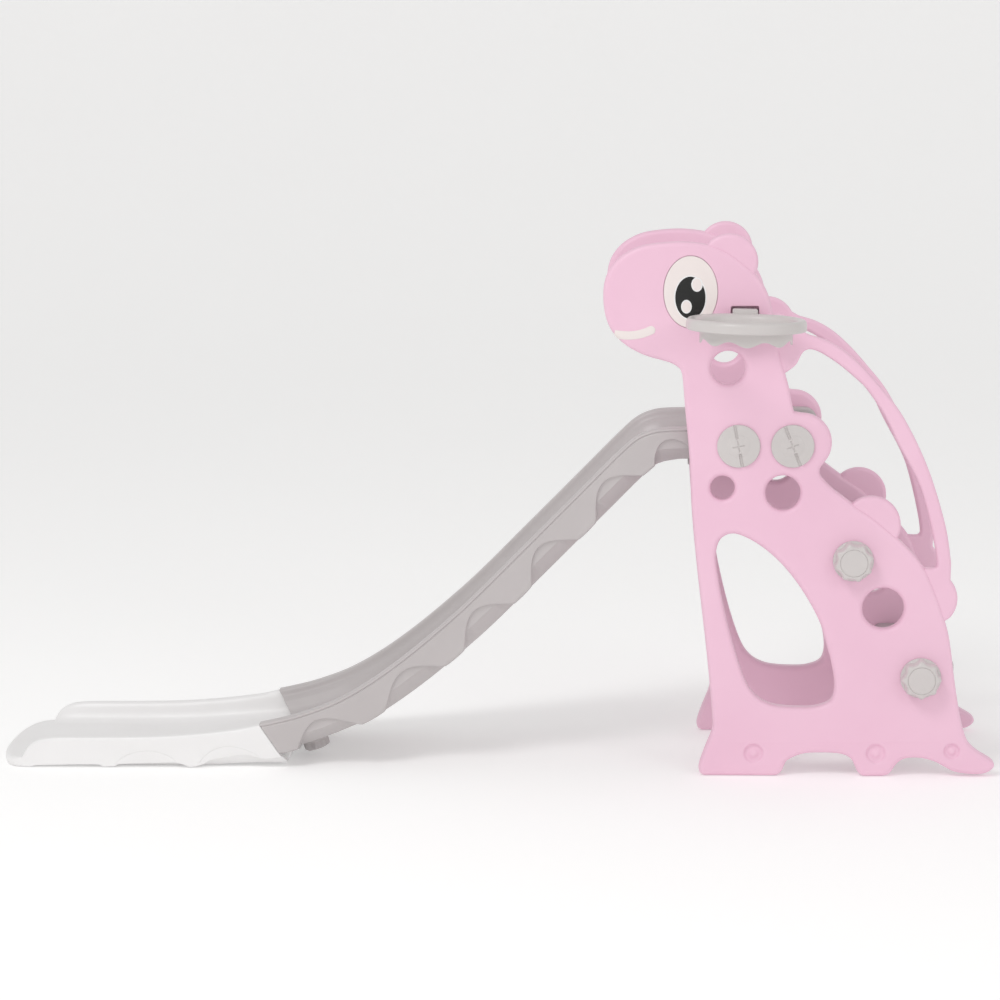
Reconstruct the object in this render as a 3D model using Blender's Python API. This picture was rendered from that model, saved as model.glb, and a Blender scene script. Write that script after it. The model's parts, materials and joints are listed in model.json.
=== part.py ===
"""Toddler slide: two dinosaur-shaped side panels with treads, a platform, a two-part chute and a ball hoop.

Metres, +Z up. The chute runs towards -X, the treads are at +X, and the ball hoop hangs on the -Y side.
The origin is on the floor, under the middle of the whole slide.
"""
import math

import bmesh
import bpy
import numpy as np
from mathutils import Matrix, Vector

# ---------------------------------------------------------------- overall sizes and walls
SLIDE_WIDTH = 0.400        # outer face to outer face of the two side panels
PANEL_THICKNESS = 0.031    # the panel's body, a blow-moulded twin wall
PLATE_STEP = 0.004         # how far the handrail and the spine plates lie below the body's faces
EDGE_ROUND = 0.006         # rounding along the panels' edges
TOUCH = 0.0004             # gap between two pieces that touch
SLIP = 0.0007              # gap round a shaft, a stub or a tab
CUT_PAST = 0.010           # how far a cutter runs past the face it opens

RAIL_TOP = 0.6225          # height of the platform's and the chute's rails at the top
UPPER_RUN = 0.8105         # level length of the grey chute, from the platform to the joint
JOINT_TOP = 0.082          # height of the rails where the two chute halves meet
LOWER_RUN = 0.434          # level length of the white chute, from the joint to the middle of its nose

# ---------------------------------------------------------------- side panels: holes and recesses (x, z)
NECK_HOLE = ((-0.015, 0.733), 0.030)
CHEST_HOLE = ((-0.024, 0.520), 0.0215)
BELLY_HOLE = ((0.0825, 0.511), 0.031)
HIP_HOLE = ((0.261, 0.304), 0.037)
DIMPLES = (((0.0325, 0.041), 0.0167), ((0.250, 0.0415), 0.0167), ((0.385, 0.046), 0.0138))
DIMPLE_DEPTH = 0.005
CREST = ((-0.013, 0.918), 0.050)
BACK_PLATE = ((0.239, 0.453), 0.0515)
NECK_PLATE = ((0.065, 0.7765), 0.051)
TAIL_PLATE = ((0.342, 0.3205), 0.050)
SHOULDER = ((0.116, 0.600), 0.052)

# ---------------------------------------------------------------- face
EYE_CENTRE = (-0.081, 0.867)
EYE_HALF = (0.047, 0.063)
EYE_THICKNESS = 0.0030
PUPIL_CENTRE = (-0.0815, 0.857)
PUPIL_HALF = (0.0265, 0.037)
PUPIL_THICKNESS = 0.0012
GLINTS = (((-0.070, 0.880), (0.010, 0.0125)), ((-0.0884, 0.8414), (0.0094, 0.012)))
MOUTH_LINE = ((-0.209, 0.7925), (-0.1875, 0.791), (-0.1665, 0.794), (-0.1480, 0.8015))
MOUTH_WIDTH = 0.014
FACE_PROUD = 0.0006        # how far eye and mouth stand out of the panel

# ---------------------------------------------------------------- treads and their hand nuts
TREADS = {"upper_tread": (0.207, 0.3905), "lower_tread": (0.328, 0.180)}
TREAD_DEPTH = 0.122
TREAD_HEIGHT = 0.060
TREAD_ROUND = 0.014
STUB_RADIUS = 0.0178       # the tread's threaded end
STUB_REACH = 0.020         # how far it stands out of the panel
NUT_RADIUS = 0.0355
NUT_LOBE = 0.0022
NUT_LOBES = 8
NUT_HEIGHT = 0.030
NUT_FLANGE = 0.006
NUT_DISC = 0.0246

# ---------------------------------------------------------------- platform and its slotted screws
PLATFORM_FRONT = -0.050
PLATFORM_REAR = 0.158
PLATFORM_DECK = 0.020      # how far the deck lies below the rims
PLATFORM_RIM = 0.030
PLATFORM_ROLL = 0.024      # radius of the rolled rear edge
PLATFORM_CHAMFER = 0.012   # under the rear edge
LEDGE_LENGTH = 0.035       # the shelf that carries the chute's top end
LEDGE_THICKNESS = 0.010
SCREW_AXES = (0.004, 0.099)
SCREW_DROP = 0.0275        # screw axis below the rim top
SCREW_RADIUS = 0.038
SCREW_RIM = 0.0045
SCREW_HEIGHT = 0.0095
SCREW_DOME = 0.017
SCREW_SLOT = 0.0045
SCREW_SHAFT = 0.0125
SCREW_GRIP = 0.024         # length of shaft inside the platform
BORE_SPARE = 0.002         # a blind hole is this much deeper than what sits in it
SCREW_LEAN = (10.8, 21.5)  # degrees that each screw's slot leans back

# ---------------------------------------------------------------- chute section
CHUTE_CLEAR = 0.007        # between the chute's side and the panel
CHUTE_DEPTH = 0.060        # rail top to underside
CHUTE_FLOOR = 0.012        # thickness of the grey chute's floor
BED_INSET = 0.072          # from the chute's side to the edge of the flat bed
UNDER_INSET = 0.034        # from the chute's side to the edge of the flat underside
RECESS_STOP = 0.020        # the recesses under the arches end this far above the underside
# The chute's line from the platform down to the joint, as shares of the run and of the drop.
CHUTE_LINE = ((0, 1), (0.046, 1), (0.0824, 0.999), (0.1194, 0.9926), (0.1564, 0.9693), (0.1935, 0.922),
              (0.268, 0.810), (0.418, 0.584), (0.5305, 0.416), (0.606, 0.3145), (0.682, 0.221),
              (0.758, 0.1395), (0.834, 0.0755), (0.9105, 0.0325), (0.962, 0.0122), (1, 0))
# The rail's rounded top, as (distance in from the side, depth).
RAIL_PROFILE = ((0, 0.006), (0.002, 0.0015), (0.007, 0), (0.021, 0), (0.027, 0.003), (0.030, 0.013))
# The slope from there down to the bed, as (distance in from the side, share of the bed's depth).
RAIL_SLOPE = ((0.039, 0.375), (0.052, 0.7917))

WAVE_PERIOD = 0.1645       # from lobe to lobe along the slope
BEND_PERIOD = 0.175        # the same for the last two, in the bend before the joint
BEND_LOBES = 2
JOINT_LOBE = 0.015         # the last lobe's middle is this far up the slope from the joint
LOBE_WIDTH = 0.045
LOBE_HANG = 0.001          # how far a lobe hangs below the underside
WAVE_TOP = 0.020           # depth of each arch's crown below the rail top
ARCH_POWER = 1.05          # above 1 makes the arches narrower than a cosine
WAVE_RELIEF = 0.005        # the side wall steps in by this much under each arch

JOINT_RAKE = 0.40          # the joint leans back by this much per metre of depth
RAKE_LENGTH = 0.15         # length of chute over which its cross-sections turn to the joint's rake
JOINT_GAP = 0.0012
SWEEP_STEP = 0.026         # spacing of the grey chute's cross-sections

# ---------------------------------------------------------------- white run-out
LOWER_SILL = 0.0023        # the white rails start this far below the grey ones
# The white rails' line, as shares of the run and of their height at the joint.
LOWER_TOPS = ((0, 1), (0.0783, 0.9097), (0.2212, 0.803), (0.4147, 0.7215), (0.6083, 0.6964),
              (0.8548, 0.6838), (0.9101, 0.6524), (0.9539, 0.5583), (0.9816, 0.4266), (1, 0.2509))
LOWER_BED = 0.018          # thickness of the white chute's floor
# The floor falls from the grey chute's bed to that thickness, as shares of the run and of the fall.
LOWER_BEDS = ((0, 1), (0.2304, 0.375), (0.4608, 0.0625), (1, 0))
# Height of the walls' lower edges, as shares of the run and of the floor's height.
LOWER_HEMS = ((0, 0.588), (0.0461, 0.531), (0.1037, 0.814), (0.2074, 0.56), (0.2396, 0.252), (0.288, 0.044),
              (0.3226, 0.273), (0.3687, 0.429), (0.576, 0.319), (0.6106, 0.107), (0.6567, 0.054),
              (0.6912, 0.269), (0.9332, 0.166), (0.9631, 0), (1, 0))
LOWER_INSET = 0.001        # the white chute is this much narrower on each side
LOWER_STEP = 0.003         # the rails stand at least this much above the bed
LOWER_SPACING = 0.03       # spacing of the white chute's cross-sections
TURN_BACK = 0.12           # length over which they turn to the joint's rake
NOSE_LENGTH = 0.050
NOSE_LAP = 0.012           # overlap of the nose with the channel
NOSE_ROUND = 0.006

# ---------------------------------------------------------------- joint under the chute
HEEL_SPAN = (0.012, 0.050)                 # the heel's seat runs between these distances behind the joint
HEEL_HALF = 0.127
HEEL_LAP = 0.070           # the heel runs this far into the white chute
HEEL_FOOT = 0.004          # height of the heel's underside
# The heel's round rear, as (distance past its seat, share of its height there).
HEEL_END = ((0.004, 0.84), (0.002, 0.34), (-0.008, 0))
TONGUE_SPAN = (0.030, 0.118)
TONGUE_THICKNESS = 0.006
KNOB_Y = 0.055
KNOB_BACK = 0.087          # from the joint to the knobs' axes, level
KNOB_RADIUS = 0.0245
KNOB_DISC = 0.0155
KNOB_HEIGHT = 0.017
KNOB_SHAFT = 0.008
KNOB_GRIP = 0.008

# ---------------------------------------------------------------- ball hoop
HOOP_X = 0.014
HOOP_TOP = 0.827
HOOP_RADIUS = 0.1035
HOOP_RIM = 0.0195
HOOP_RIM_HEIGHT = 0.020
HOOP_STANDOFF = 0.006
SKIRT_RADIUS = 0.0800
SKIRT_WALL = 0.0035
SKIRT_DROP = 0.024
SKIRT_WAVE = 0.0045
SKIRT_WAVES = 8
TAB_WIDTH = 0.044
TAB_DEPTH = 0.012
TAB_TOP = 0.838
TAB_BOTTOM = 0.814
SLOT_WIDTH = 0.049
SLOT_PLAY = 0.004          # the slot is this much taller than the tab at each end
CORNER = 0.003             # corner radius of the tab and its slot
HOOP_LEAN = 1.5            # degrees, play of the tab in its slot

SIDES = {"left": -1, "right": 1}
INNER = SLIDE_WIDTH / 2 - PANEL_THICKNESS
CHUTE_HALF = INNER - CHUTE_CLEAR
BED_DEPTH = CHUTE_DEPTH - CHUTE_FLOOR      # rail top to the sliding surface
SCREW_Z = RAIL_TOP - SCREW_DROP
JOINT_X = PLATFORM_FRONT - UPPER_RUN
UNDER_HALF = CHUTE_HALF - UNDER_INSET
LOWER_HALF = CHUTE_HALF - LOWER_INSET
ROUND_STEPS = 24           # sides of a round piece


# ---------------------------------------------------------------- materials and objects
def material(name, colour, roughness=0.45):
    """Plain moulded plastic in one colour."""
    found = bpy.data.materials.get(name)
    if found:
        return found
    made = bpy.data.materials.new(name)
    made.use_nodes = True
    shader = made.node_tree.nodes["Principled BSDF"]
    shader.inputs["Base Color"].default_value = (*colour, 1.0)
    shader.inputs["Roughness"].default_value = roughness
    shader.inputs["Metallic"].default_value = 0.0
    return made


PINK = ("pink_plastic", (0.86, 0.58, 0.69))
GREY = ("grey_plastic", (0.52, 0.49, 0.49))
PALE_GREY = ("pale_grey_plastic", (0.60, 0.57, 0.56))
WHITE = ("white_plastic", (0.82, 0.80, 0.80))
CREAM = ("cream_plastic", (0.86, 0.78, 0.76))
BLACK = ("black_plastic", (0.01, 0.01, 0.01))


def new_object(name, shape, finish, parent=None, guide=False):
    """Turn a bmesh into a named object with one material."""
    bmesh.ops.remove_doubles(shape, verts=shape.verts, dist=1e-6)
    bmesh.ops.recalc_face_normals(shape, faces=shape.faces)
    mesh = bpy.data.meshes.new(name)
    shape.to_mesh(mesh)
    shape.free()
    thing = bpy.data.objects.new(name, mesh)
    bpy.context.scene.collection.objects.link(thing)
    thing.parent = parent
    if guide:
        thing.hide_render = True
        thing.display_type = 'WIRE'
    else:
        mesh.materials.append(material(*finish))
        mesh.shade_smooth()
        mesh.set_sharp_from_angle(angle=math.radians(35))
    return thing


def boolean(target, other, operation):
    """Cut or join with the exact solver."""
    step = target.modifiers.new(f"{operation.lower()}_{other.name}", 'BOOLEAN')
    step.operation = operation
    step.object = other
    step.solver = 'EXACT'


# ---------------------------------------------------------------- outlines in the (x, z) plane
def smooth(points, longest=0.022, closed=True):
    """Catmull-Rom curve through the points; spans longer than `longest` are split into equal steps."""
    p = np.array(points, float)
    count = len(p)
    spans = count if closed else count - 1
    out = []
    for i in range(spans):
        if closed:
            a, b, c, d = (p[(i + k) % count] for k in (-1, 0, 1, 2))
        else:
            a, b, c, d = (p[min(max(i + k, 0), count - 1)] for k in (-1, 0, 1, 2))
        steps = max(1, int(math.ceil(np.linalg.norm(c - b) / longest)))
        chord = max(np.linalg.norm(c - b), 1e-9)
        before = max(np.linalg.norm(b - a), 1e-9)
        after = max(np.linalg.norm(d - c), 1e-9)
        start = (c - a) * chord / (chord + before) if before > 1e-8 else c - b
        end = (d - b) * chord / (chord + after) if after > 1e-8 else c - b
        for t in np.arange(steps) / steps:
            out.append(b * (2 * t**3 - 3 * t**2 + 1) + start * (t**3 - 2 * t**2 + t)
                       + c * (3 * t**2 - 2 * t**3) + end * (t**3 - t**2))
    if not closed:
        out.append(p[-1])
    return [tuple(q) for q in out]


def arc(circle, start, end, steps=8):
    """Points on a circle from one angle to another, in degrees."""
    (x, z), radius = circle
    angles = np.radians(np.linspace(start, end, steps + 1))
    return [(x + radius * math.cos(a), z + radius * math.sin(a)) for a in angles]


def ellipse(centre, half, steps=ROUND_STEPS):
    angles = np.arange(steps) / steps * 2 * math.pi
    return [(centre[0] + half[0] * math.cos(a), centre[1] + half[1] * math.sin(a)) for a in angles]


def circle(centre, radius, steps=ROUND_STEPS):
    return ellipse(centre, (radius, radius), steps)


def rounded_box(low, high, radius, steps=4):
    """A rectangle with round corners, from its low and high corners."""
    (x0, z0), (x1, z1) = low, high
    corners = (((x1 - radius, z1 - radius), 0), ((x0 + radius, z1 - radius), 90),
               ((x0 + radius, z0 + radius), 180), ((x1 - radius, z0 + radius), 270))
    out = []
    for centre, start in corners:
        out += arc((centre, radius), start, start + 90, steps)
    return out


def ribbon(line, width, cap_steps=6):
    """The outline of a stripe of even width with round ends along a line."""
    p = np.array(smooth(line, 0.008, closed=False))
    along = np.gradient(p, axis=0)
    along /= np.linalg.norm(along, axis=1)[:, None]
    across = np.stack([-along[:, 1], along[:, 0]], 1) * width / 2
    start = math.degrees(math.atan2(across[0, 1], across[0, 0]))
    end = math.degrees(math.atan2(-across[-1, 1], -across[-1, 0]))
    first = arc((tuple(p[0]), width / 2), start, start + 180, cap_steps)
    last = arc((tuple(p[-1]), width / 2), end, end + 180, cap_steps)
    there = [tuple(q) for q in (p - across)[1:-1]]
    back = [tuple(q) for q in (p + across)[-2:0:-1]]
    return first + there + last + back


def inset(loop, distance):
    """Move a closed outline inwards by a distance, along the average of its edges' normals."""
    p = np.array(loop)
    x, z = p.T
    turn = np.sign(np.sum(x * np.roll(z, -1) - np.roll(x, -1) * z))
    edge = np.roll(p, -1, axis=0) - p
    edge /= np.linalg.norm(edge, axis=1)[:, None]
    normal = turn * np.stack([-edge[:, 1], edge[:, 0]], 1)
    both = normal + np.roll(normal, 1, axis=0)
    both /= np.linalg.norm(both, axis=1)[:, None]
    stretch = 1 / np.clip(np.sum(both * normal, axis=1), 0.6, 1.0)
    return [tuple(q) for q in p + both * (distance * stretch)[:, None]]


# ---------------------------------------------------------------- solids
def loft(rings, shape=None):
    """Skin equal rings of points one after another and close both ends with flat faces."""
    shape = shape or bmesh.new()
    rows = [[shape.verts.new(point) for point in ring] for ring in rings]
    for low, high in zip(rows, rows[1:]):
        for i in range(len(low)):
            j = (i + 1) % len(low)
            shape.faces.new((low[i], low[j], high[j], high[i]))
    shape.faces.new(rows[0])
    shape.faces.new(rows[-1])
    return shape


def slab(loop, y_low, y_high, rounding=0.0, shape=None):
    """Extrude an (x, z) outline between two y values, with its edges chamfered."""
    if rounding:
        small = inset(loop, rounding)
        steps = ((y_low, small), (y_low + rounding, loop), (y_high - rounding, loop), (y_high, small))
    else:
        steps = ((y_low, loop), (y_high, loop))
    return loft([[(x, y, z) for x, z in outline] for y, outline in steps], shape)


def block(low, high, shape=None):
    """A box from its low and high corners."""
    (x0, y0, z0), (x1, y1, z1) = low, high
    rings = [[(x0, y0, z), (x1, y0, z), (x1, y1, z), (x0, y1, z)] for z in (z0, z1)]
    return loft(rings, shape)


def turned(profile, radius_at=None, steps=ROUND_STEPS):
    """Turn a profile of (radius, height, lobe share) about local +Z; it starts and ends on the axis."""
    shape = bmesh.new()
    rows = []
    for radius, height, lobe in profile[1:-1]:
        row = []
        for i in range(steps):
            a = 2 * math.pi * i / steps
            r = radius + (lobe * radius_at(a) if lobe else 0.0)
            row.append(shape.verts.new((r * math.cos(a), r * math.sin(a), height)))
        rows.append(row)
    for low, high in zip(rows, rows[1:]):
        for i in range(steps):
            j = (i + 1) % steps
            shape.faces.new((low[i], low[j], high[j], high[i]))
    for row, (_, height, _) in ((rows[0], profile[0]), (rows[-1], profile[-1])):
        tip = shape.verts.new((0, 0, height))
        for i in range(steps):
            shape.faces.new((row[i], row[(i + 1) % steps], tip))
    return shape


def facing(side):
    """Turn local +Z to point out of a side panel."""
    return Matrix.Rotation(math.radians(-90 * side), 4, 'X')


# ---------------------------------------------------------------- the side panel's outlines
def body_outline():
    """The animal from its front foot up the chest, over the head, down the back to the toe and the feet."""
    front_foot = [(-0.055, 0.0), (-0.063, 0.005), (-0.065, 0.015), (-0.059, 0.036), (-0.051, 0.057),
                  (-0.042, 0.080), (-0.040, 0.094)]
    chest = [(-0.046, 0.171), (-0.053, 0.240), (-0.060, 0.301), (-0.070, 0.390), (-0.078, 0.480),
             (-0.083, 0.582), (-0.090, 0.660), (-0.095, 0.718)]
    throat = [(-0.099, 0.730), (-0.107, 0.737), (-0.118, 0.7425), (-0.135, 0.7475), (-0.153, 0.7525),
              (-0.172, 0.760), (-0.193, 0.772)]
    head = [(-0.212, 0.789), (-0.223, 0.805), (-0.231, 0.828), (-0.234, 0.860), (-0.231, 0.887),
            (-0.222, 0.908), (-0.203, 0.929), (-0.171, 0.946), (-0.129, 0.953), (-0.087, 0.954),
            (-0.046, 0.948), (-0.018, 0.937), (0.010, 0.917), (0.033, 0.8965), (0.047, 0.877)]
    nape = [(0.056, 0.857), (0.062, 0.832), (0.068, 0.800), (0.075, 0.760), (0.086, 0.719),
            (0.092, 0.697), (0.097, 0.670), (0.101, 0.655)]
    back = [(0.147, 0.554), (0.147, 0.545), (0.155, 0.533), (0.170, 0.518), (0.187, 0.505), (0.211, 0.487),
            (0.238, 0.469), (0.262, 0.449), (0.288, 0.427), (0.315, 0.399), (0.334, 0.374),
            (0.345, 0.350), (0.356, 0.323), (0.366, 0.294), (0.376, 0.260), (0.382, 0.225), (0.387, 0.185),
            (0.395, 0.133), (0.404, 0.089)]
    toe = [(0.413, 0.064), (0.424, 0.051), (0.436, 0.042), (0.451, 0.033), (0.4585, 0.027), (0.461, 0.020),
           (0.457, 0.013), (0.449, 0.0075), (0.438, 0.0045), (0.422, 0.004), (0.405, 0.0055),
           (0.388, 0.009), (0.374, 0.016), (0.357, 0.0255), (0.336, 0.032), (0.317, 0.0335), (0.302, 0.0315),
           (0.292, 0.026), (0.284, 0.017), (0.279, 0.009), (0.272, 0.0025), (0.262, 0.0)]
    feet = [(0.228, 0.0), (0.220, 0.005), (0.215, 0.014), (0.208, 0.029), (0.197, 0.037), (0.180, 0.041),
            (0.149, 0.042), (0.122, 0.040), (0.105, 0.034), (0.092, 0.026), (0.087, 0.016), (0.082, 0.006),
            (0.073, 0.0)]
    return (smooth(front_foot + chest + throat + head + nape, closed=False)
            + arc(SHOULDER, 92, -45, 10)
            + smooth(back + toe, closed=False) + smooth(feet, closed=False))


def rail_outline():
    """The handrail with the neck plate that it springs from and the tail plate that it ends in."""
    outer = [(0.125, 0.791), (0.1565, 0.781), (0.189, 0.762), (0.2225, 0.7315), (0.253, 0.697),
             (0.2845, 0.658), (0.313, 0.608), (0.338, 0.552), (0.3565, 0.4975), (0.372, 0.439),
             (0.380, 0.385)]
    hidden_low = [(0.362, 0.275), (0.320, 0.320), (0.315, 0.365)]
    inner = [(0.3335, 0.3765), (0.350, 0.3765), (0.355, 0.3815), (0.351, 0.414), (0.338, 0.4725),
             (0.325, 0.517), (0.311, 0.548), (0.284, 0.598), (0.2595, 0.648), (0.2265, 0.6965),
             (0.206, 0.716), (0.181, 0.737), (0.156, 0.754), (0.1395, 0.7625), (0.126, 0.765),
             (0.1165, 0.760), (0.110, 0.749), (0.105, 0.739), (0.0975, 0.732), (0.088, 0.725)]
    hidden_top = [(0.065, 0.712), (0.040, 0.740), (0.030, 0.800)]
    return (arc(NECK_PLATE, 110, 26, 5) + smooth(outer, closed=False) + arc(TAIL_PLATE, 42, -42, 5)
            + hidden_low + smooth(inner, closed=False) + hidden_top)


def leg_opening():
    """The large drop-shaped opening between the legs."""
    return smooth([(-0.035, 0.405), (-0.027, 0.428), (-0.007, 0.438), (0.020, 0.430), (0.053, 0.409),
                   (0.086, 0.378), (0.119, 0.334), (0.148, 0.281), (0.161, 0.239), (0.172, 0.197),
                   (0.176, 0.160), (0.169, 0.137), (0.146, 0.1265), (0.119, 0.124), (0.071, 0.1275),
                   (0.044, 0.1385), (0.025, 0.1585), (0.009, 0.195), (-0.009, 0.255), (-0.025, 0.324),
                   (-0.034, 0.380)], 0.03)


def side_panel(name, side, holder):
    """One blow-moulded side: body, handrail and spine plates in one piece, with all its holes."""
    outer_y, inner_y = side * SLIDE_WIDTH / 2, side * INNER
    y_low, y_high = sorted((outer_y, inner_y))
    panel = new_object(name, slab(body_outline(), y_low, y_high, EDGE_ROUND), PINK, holder)
    thin = (y_low + PLATE_STEP, y_high - PLATE_STEP, EDGE_ROUND)
    plates = slab(rail_outline(), *thin)
    for plate in (CREST, BACK_PLATE):
        slab(circle(*plate), *thin, shape=plates)
    boolean(panel, new_object(f"{name}_plates", plates, PINK, holder, guide=True), 'UNION')

    past = (y_low - CUT_PAST, y_high + CUT_PAST)
    holes = slab(leg_opening(), *past)
    for hole in (NECK_HOLE, CHEST_HOLE, BELLY_HOLE, HIP_HOLE):
        slab(circle(*hole), *past, shape=holes)
    for centre in TREADS.values():
        slab(circle(centre, STUB_RADIUS + SLIP), *past, shape=holes)
    for x in SCREW_AXES:
        slab(circle((x, SCREW_Z), SCREW_SHAFT + SLIP), *past, shape=holes)

    def pocket(loop, depth):
        """A recess of the given depth in the outer face."""
        slab(loop, *sorted((outer_y + side * CUT_PAST, outer_y - side * depth)), shape=holes)

    for centre, radius in DIMPLES:
        pocket(circle(centre, radius), DIMPLE_DEPTH)
    pocket(ellipse(EYE_CENTRE, np.array(EYE_HALF) + TOUCH), EYE_THICKNESS + TOUCH - FACE_PROUD)
    pocket(ribbon(MOUTH_LINE, MOUTH_WIDTH + 2 * TOUCH), EYE_THICKNESS + TOUCH - FACE_PROUD)
    if side == SIDES["left"]:
        slot_low = (HOOP_X - SLOT_WIDTH / 2, TAB_BOTTOM - SLOT_PLAY)
        slot_high = (HOOP_X + SLOT_WIDTH / 2, TAB_TOP + SLOT_PLAY)
        pocket(rounded_box(slot_low, slot_high, CORNER, 1), TAB_DEPTH + BORE_SPARE)
    boolean(panel, new_object(f"{name}_cutter", holes, PINK, holder, guide=True), 'DIFFERENCE')
    return panel


def face_pieces(word, side, holder):
    """The eye, its pupil and the mouth stripe, set into the panel's outer face."""
    front = side * (SLIDE_WIDTH / 2 + FACE_PROUD)

    def sheet(loop, top, thickness, shape=None):
        return slab(loop, *sorted((top, top - side * thickness)), shape=shape)

    white = sheet(ellipse(EYE_CENTRE, EYE_HALF), front, EYE_THICKNESS)
    eye = new_object(f"eye_{word}", white, CREAM, holder)
    seat = sheet(ellipse(PUPIL_CENTRE, np.array(PUPIL_HALF) + TOUCH), front + side * CUT_PAST,
                 CUT_PAST + PUPIL_THICKNESS)
    boolean(eye, new_object(f"eye_{word}_cutter", seat, CREAM, holder, guide=True), 'DIFFERENCE')
    pupil = new_object(f"pupil_{word}", sheet(ellipse(PUPIL_CENTRE, PUPIL_HALF), front,
                                             PUPIL_THICKNESS - TOUCH), BLACK, holder)
    glints = bmesh.new()
    for centre, half in GLINTS:
        slab(ellipse(centre, half), front - CUT_PAST, front + CUT_PAST, shape=glints)
    boolean(pupil, new_object(f"pupil_{word}_cutter", glints, BLACK, holder, guide=True), 'DIFFERENCE')
    stripe = sheet(ribbon(MOUTH_LINE, MOUTH_WIDTH), front, EYE_THICKNESS)
    new_object(f"mouth_{word}", stripe, CREAM, holder)


# ---------------------------------------------------------------- treads, platform and their fasteners
def tread(name, centre, holder):
    """A step between the panels; its threaded round ends pass through both of them."""
    x, z = centre
    low = (x - TREAD_DEPTH / 2, z - TREAD_HEIGHT / 2)
    high = (x + TREAD_DEPTH / 2, z + TREAD_HEIGHT / 2)
    step = new_object(name, slab(rounded_box(low, high, TREAD_ROUND), -INNER + TOUCH, INNER - TOUCH),
                      GREY, holder)
    reach = SLIDE_WIDTH / 2 + STUB_REACH
    stubs = new_object(f"{name}_stubs", slab(circle(centre, STUB_RADIUS), -reach, reach), GREY, holder,
                       guide=True)
    boolean(step, stubs, 'UNION')


def lobe_height(angle):
    """How far a hand nut's grip stands out at an angle."""
    return NUT_LOBE * math.cos(NUT_LOBES * angle)


def hand_nut(name, centre, side, holder):
    """A lobed cap nut; its blind thread opens towards the panel."""
    bore = STUB_RADIUS + SLIP
    depth = STUB_REACH + BORE_SPARE
    lobes = NUT_RADIUS - NUT_LOBE
    profile = [(0, depth, 0), (bore, depth, 0), (bore, TOUCH, 0), (NUT_RADIUS + 0.0005, TOUCH, 0),
               (NUT_RADIUS + 0.0005, NUT_FLANGE - 0.001, 0), (NUT_RADIUS - 0.002, NUT_FLANGE, 0),
               (lobes, NUT_FLANGE + 0.001, 1), (lobes, NUT_HEIGHT - 0.006, 1),
               (lobes - 0.005, NUT_HEIGHT, 0.6), (NUT_DISC, NUT_HEIGHT, 0),
               (NUT_DISC - 0.001, NUT_HEIGHT - 0.001, 0), (0, NUT_HEIGHT - 0.001, 0)]
    nut = new_object(name, turned(profile, lobe_height), PALE_GREY, holder)
    nut.matrix_local = Matrix.Translation((centre[0], side * SLIDE_WIDTH / 2, centre[1])) @ facing(side)


def platform(holder):
    """The standing platform: a deck between two rims, with a ledge in front for the chute's top end."""
    ledge = RAIL_TOP - CHUTE_DEPTH - TOUCH
    bottom = ledge - LEDGE_THICKNESS
    tip = PLATFORM_FRONT - LEDGE_LENGTH
    roll = ((PLATFORM_REAR - PLATFORM_ROLL, RAIL_TOP - PLATFORM_ROLL), PLATFORM_ROLL)
    outline = [(PLATFORM_FRONT, ledge), (PLATFORM_FRONT, RAIL_TOP)] + arc(roll, 90, 0, 5)
    outline += [(PLATFORM_REAR, bottom + PLATFORM_CHAMFER), (PLATFORM_REAR - PLATFORM_CHAMFER, bottom),
                (tip, bottom), (tip, ledge)]
    deck = new_object("platform", slab(outline, -INNER + TOUCH, INNER - TOUCH), GREY, holder)
    half = INNER - PLATFORM_RIM
    cuts = block((PLATFORM_FRONT - CUT_PAST, -half, RAIL_TOP - PLATFORM_DECK),
                 (PLATFORM_REAR + CUT_PAST, half, RAIL_TOP + CUT_PAST))
    for side in SIDES.values():
        bore = sorted((side * (INNER + CUT_PAST), side * (INNER - SCREW_GRIP - BORE_SPARE)))
        for x in SCREW_AXES:
            slab(circle((x, SCREW_Z), SCREW_SHAFT + SLIP), *bore, shape=cuts)
        low_y, high_y = sorted((side * (INNER + CUT_PAST), side * (UNDER_HALF - SLIP)))
        block((tip - CUT_PAST, low_y, bottom - CUT_PAST),
              (PLATFORM_FRONT - TOUCH, high_y, ledge + CUT_PAST), cuts)
    boolean(deck, new_object("platform_cutter", cuts, GREY, holder, guide=True), 'DIFFERENCE')


def slotted_screw(name, x, lean, side, holder):
    """A large plastic screw: a domed head with two slots, and a shaft into the platform's rim."""
    shaft_end = -(PANEL_THICKNESS + SCREW_GRIP)
    profile = [(0, shaft_end, 0), (SCREW_SHAFT - 0.002, shaft_end, 0), (SCREW_SHAFT, shaft_end + 0.002, 0),
               (SCREW_SHAFT, TOUCH, 0), (SCREW_RADIUS, TOUCH, 0), (SCREW_RADIUS, SCREW_RIM - 0.0015, 0),
               (SCREW_RADIUS - 0.002, SCREW_RIM, 0), (SCREW_DOME + 0.004, SCREW_RIM + 0.001, 0),
               (SCREW_DOME, SCREW_RIM + 0.002, 0), (SCREW_DOME * 0.6, SCREW_HEIGHT - 0.001, 0),
               (0, SCREW_HEIGHT, 0)]
    screw = new_object(name, turned(profile), PALE_GREY, holder)
    screw.matrix_local = Matrix.Translation((x, side * SLIDE_WIDTH / 2, SCREW_Z)) @ facing(side)
    slots = bmesh.new()
    for sign in (-1, 1):
        near, far = sorted((sign * SCREW_DOME, sign * (SCREW_RADIUS + 0.004)))
        block((-SCREW_SLOT / 2, near, SCREW_RIM - 0.002), (SCREW_SLOT / 2, far, SCREW_HEIGHT), slots)
    cutter = new_object(f"{name}_cutter", slots, PALE_GREY, screw, guide=True)
    cutter.rotation_euler = (0, 0, math.radians(lean))
    boolean(screw, cutter, 'DIFFERENCE')


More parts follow.
